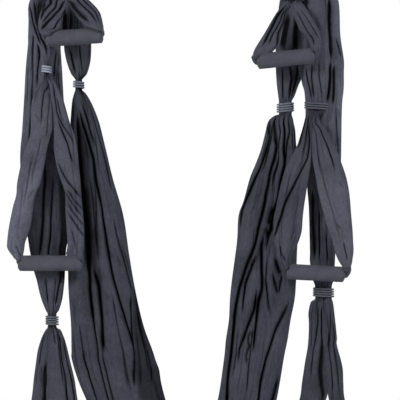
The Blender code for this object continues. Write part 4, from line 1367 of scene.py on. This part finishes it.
def add_grip(side, key):
    """The foam sleeve with its moulded skin, and the tube's proud rims."""
    left_end, right_end, along, _ = grip_frame(side, key)
    half = (right_end - left_end).length / 2
    middle = (left_end + right_end) / 2 + Vector((0, LAYERS[key].loop_y, 0))
    name = f"{key}_{side['name']}"

    end = [(-half, FOAM_BORE_R)]
    for k in range(FOAM_END_STEPS + 1):
        turn = math.radians(90 / FOAM_END_STEPS * k)
        end.append((-half + FOAM_END_ROUND * (1 - math.cos(turn)),
                    FOAM_R - FOAM_END_ROUND * (1 - math.sin(turn))))
    skin = []
    for k in range(1, FOAM_STEPS):
        t = k / FOAM_STEPS
        skin.append((-half + FOAM_END_ROUND + (2 * half - 2 * FOAM_END_ROUND) * t,
                     FOAM_R + FOAM_SKIN * math.sin(FOAM_WAVES * t + half * 900)))
    outline = end + skin + [(-x, radius) for x, radius in reversed(end)]
    foam = turned(f"grip_foam_{name}", outline, FOAM_SEGMENTS, along, middle)
    dress(foam, FOAM, f"grip_{name}", "foam", f"foam_grip_{name}")

    reach = half + TUBE_PROUD
    rim = [(-reach + TUBE_EDGE, TUBE_BORE_R), (-reach, TUBE_BORE_R + TUBE_EDGE),
           (-reach, TUBE_R - TUBE_EDGE), (-reach + TUBE_EDGE, TUBE_R)]
    rim += [(-x, radius) for x, radius in reversed(rim)]
    tube = turned(f"grip_core_{name}", rim, TUBE_SEGMENTS, along, middle)
    dress(tube, TUBE, f"grip_{name}", "tube", f"grip_tube_{name}")


def cord_along(name, points):
    """A round cord along points, with cloth coordinates and closed ends."""
    bm = bmesh.new()
    layer = bm.loops.layers.uv.new("cloth")
    rings, travelled = [], [0.0]
    for k, point in enumerate(points):
        ahead = (points[min(k + 1, len(points) - 1)] - points[max(k - 1, 0)]).normalized()
        side = ahead.cross(Vector((0, 0, 1))).normalized()
        top = side.cross(ahead).normalized()
        if k:
            travelled.append(travelled[-1] + (point - points[k - 1]).length)
        rings.append(ring(bm, point, CORD_R, side, top, CORD_SIDES))
    for k in range(len(rings) - 1):
        for i, face in enumerate(join_rings(bm, rings[k], rings[k + 1])):
            corners = ((i, k), (i + 1, k), (i + 1, k + 1), (i, k + 1))
            for loop, (a, b) in zip(face.loops, corners):
                loop[layer].uv = (a * 2 * math.pi * CORD_R / CORD_SIDES, travelled[b])
    bm.faces.new(list(reversed(rings[0])))
    bm.faces.new(rings[-1])
    bmesh.ops.recalc_face_normals(bm, faces=bm.faces)
    made = bmesh_object(name, bm)
    made.data.shade_smooth()
    return made


def add_band(side, key, y, seed):
    """Elastic cord wound round a neck, its turns a little uneven."""
    rng = random.Random(seed)
    centre, half_width, half_depth, drop, turns = side[key]["neck"]
    cord, slope = side[key]["band"]
    reach_across = half_width * MM + CORD_SEAT + CORD_R
    reach_deep = half_depth * MM + CORD_SEAT + CORD_R
    top = BAR_Z - drop * MM + turns * CORD_PITCH / 2
    wobble = [rng.uniform(-BAND_LOOSE_MM, BAND_LOOSE_MM) * MM for _ in range(turns + 2)]
    points = []
    for i in range(turns * BAND_STEPS + 1):
        share = i / BAND_STEPS
        turn = 2 * math.pi * share + BAND_START
        k = int(share)
        loose = wobble[k] + (wobble[k + 1] - wobble[k]) * (share - k)
        x = (reach_across + loose) * math.cos(turn)
        points.append(Vector((side["x"] + centre * MM + x,
                              y + (reach_deep + loose * 0.5) * math.sin(turn),
                              top - CORD_PITCH * share + slope * x)))
    band = cord_along(f"wound_band_{key}_{side['name']}", points)
    dress(band, CORDS[cord], "hammock", "cord", f"{key}_band_{side['name']}")


def add_eye(side, key):
    """The sewn eye round the bottom bar, with the gathered cloth's ridges."""
    place = Vector((side["x"] + side[key]["eye"] * EYE_PITCH, 0, BAR_Z))
    half = EYE_WIDTH / 2
    outline = []
    for k in range(EYE_STEPS + 1):
        t = -1 + 2 * k / EYE_STEPS
        outline.append((half * t, EYE_BORE_R + EYE_WALL * (1 - abs(t) ** 3 * EYE_CROWN)
                        - EYE_RIDGE * (k % 2)))
    outline += [(half, EYE_BORE_R), (0.0, EYE_BORE_R), (-half, EYE_BORE_R)]
    eye = turned(f"cloth_eye_{key}_{side['name']}", outline, EYE_SEGMENTS, (1, 0, 0),
                 place)
    layer = eye.data.uv_layers.new(name="cloth")
    for loop in eye.data.loops:
        at = eye.data.vertices[loop.vertex_index].co - place
        layer.data[loop.index].uv = (at.x, math.atan2(at.z, at.y) * EYE_BORE_R)
    set_painted_light_and_shade(eye.data, [1.0] * len(eye.data.vertices))
    dress(eye, CLOTH, "hammock", "cloth")


# The whole object

def add_seat():
    """The seat cloth, from the left eye down, round the seat and up to the right eye."""
    left, under, right = seat_sections()
    necks = [2 + len(LEFT["sling"]["rows"]), -3 - len(RIGHT["sling"]["rows"])]
    tones = {side["name"]: side["sling"]["tones"] for side in (LEFT, RIGHT)}
    seat = strip_object("seat_cloth", [
        cloth_strip(left + under + right, CREASES["sling"], necks, SEAT_SEED, SEAT_PLEATS,
                    SEAT_ROW_STEP, tones, seat_ends=(len(left), len(left) + len(under) - 1)),
    ])
    dress(seat, CLOTH, "hammock", "cloth", "seat_sling")


def add_handle(side, key):
    """A strap and its loop as one cloth, with its band, its grip and its sewn eye."""
    strap, layer = side[key], LAYERS[key]
    name = f"{key}_{side['name']}"
    seed = HANDLE_SEED + 7 * len(name) + side["seed"]
    hung = hung_sections(side, key, layer.neck_y, layer.strap_half_depth, NECK_OVERLAP)
    loop = loop_sections(side, key)
    handle = strip_object(f"handle_cloth_{name}", [
        cloth_strip(hung, CREASES[name], [len(hung) - 2], seed, layer.pleats, HANDLE_ROW_STEP,
                    {side["name"]: strap["tones"]}),
        cloth_strip(loop, CREASES[name], [0, len(loop) - 1], seed + LOOP_SEED_STEP, LOOP_PLEATS,
                    HANDLE_ROW_STEP, strap["loop_painted_light_and_shade"], strap.get("clear")),
    ])
    dress(handle, CLOTH, None, "cloth", f"{key}_strap_{side['name']}", f"{key}_loop_{side['name']}")
    centre, _, _, drop, turns = strap["neck"]
    x, neck_y = side["x"] + centre * MM, layer.neck_y
    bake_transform(handle)
    add_band(side, key, neck_y, seed)
    add_grip(side, key)
    add_eye(side, key)


add_seat()
for side in (LEFT, RIGHT):
    for key in LAYERS:
        add_handle(side, key)
    add_band(side, "sling", SLING_TOP_Y, SEAT_BAND_SEED)
    add_eye(side, "sling")
    for name, material, slot in (("carabiner_frame", STEEL, "steel"), ("gate", STEEL, "steel"),
                                 ("gate_pin", STEEL, "steel"), ("locking_sleeve", BLACK, "sleeve")):
        dress(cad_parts[f"{name}_{side['name']}"], material, None, slot)


# Floor, light and camera

HALF_VIEW_MM = PHOTO_PIXELS / 2 * PHOTO_MM
VIEW_CENTRE = Vector((PHOTO_LEFT_MM + HALF_VIEW_MM, 0,
                      BAR_Z / MM - PHOTO_TOP_DROP_MM - HALF_VIEW_MM)) * MM
VIEW_WIDTH = PHOTO_PIXELS * PHOTO_MM * MM
CAMERA_DISTANCE = 4.0
SENSOR_WIDTH = 36.0
FLOOR_Z = -1.48
FLOOR_R = 2.6
FLOOR_SEGMENTS = 96
ROOM_COLOUR = (0.9, 0.93, 1.0, 1.0)
ROOM_STRENGTH = 0.10


def add_floor():
    bm = bmesh.new()
    bmesh.ops.create_circle(bm, cap_ends=True, radius=FLOOR_R, segments=FLOOR_SEGMENTS)
    floor = bmesh_object("pale_floor", bm)
    floor.location = (HANG_SPACING / 2, 0, FLOOR_Z)
    floor.data.materials.append(floor_material())


def add_world():
    """A dim room that lights the object, and white behind it for camera, glossy and
    transmission rays."""
    world = bpy.data.worlds.new("studio")
    bpy.context.scene.world = world
    world.use_nodes = True
    tree = world.node_tree
    tree.nodes.clear()
    rays = node(tree, "ShaderNodeLightPath").outputs
    seen = maths(tree, "MAXIMUM", rays["Is Camera Ray"], rays["Is Glossy Ray"])
    seen = maths(tree, "MAXIMUM", seen, rays["Is Transmission Ray"])
    room = node(tree, "ShaderNodeBackground", {"Color": ROOM_COLOUR, "Strength": ROOM_STRENGTH})
    white = node(tree, "ShaderNodeBackground", {"Color": (1, 1, 1, 1), "Strength": 1.0})
    mixed = node(tree, "ShaderNodeMixShader", {0: seen, 1: room, 2: white})
    node(tree, "ShaderNodeOutputWorld", {"Surface": mixed})


def add_light(name, place, energy, size):
    """A round lamp aimed at the middle of the view."""
    data = bpy.data.lights.new(name, "AREA")
    data.energy = energy
    data.shape = "DISK"
    data.size = size
    lamp = add_object(name, data)
    lamp.location = place
    lamp.rotation_euler = (VIEW_CENTRE - Vector(place)).to_track_quat("-Z", "Y").to_euler()


def add_camera():
    data = bpy.data.cameras.new("camera")
    data.sensor_width = SENSOR_WIDTH
    data.lens = data.sensor_width * CAMERA_DISTANCE / VIEW_WIDTH
    camera = add_object("camera", data)
    camera.location = VIEW_CENTRE + Vector((0, -CAMERA_DISTANCE, 0))
    camera.rotation_euler = (math.pi / 2, 0, 0)
    bpy.context.scene.camera = camera


add_floor()
add_world()
add_light("left_key", (-2.8, -2.9, 1.2), 144, 1.2)
add_light("right_fill", (3.2, -2.4, 0.3), 62, 1.6)
add_light("back_lift", (0.3, 3.0, 1.0), 90, 2.4)
add_camera()
bpy.context.scene.view_settings.view_transform = "Standard"
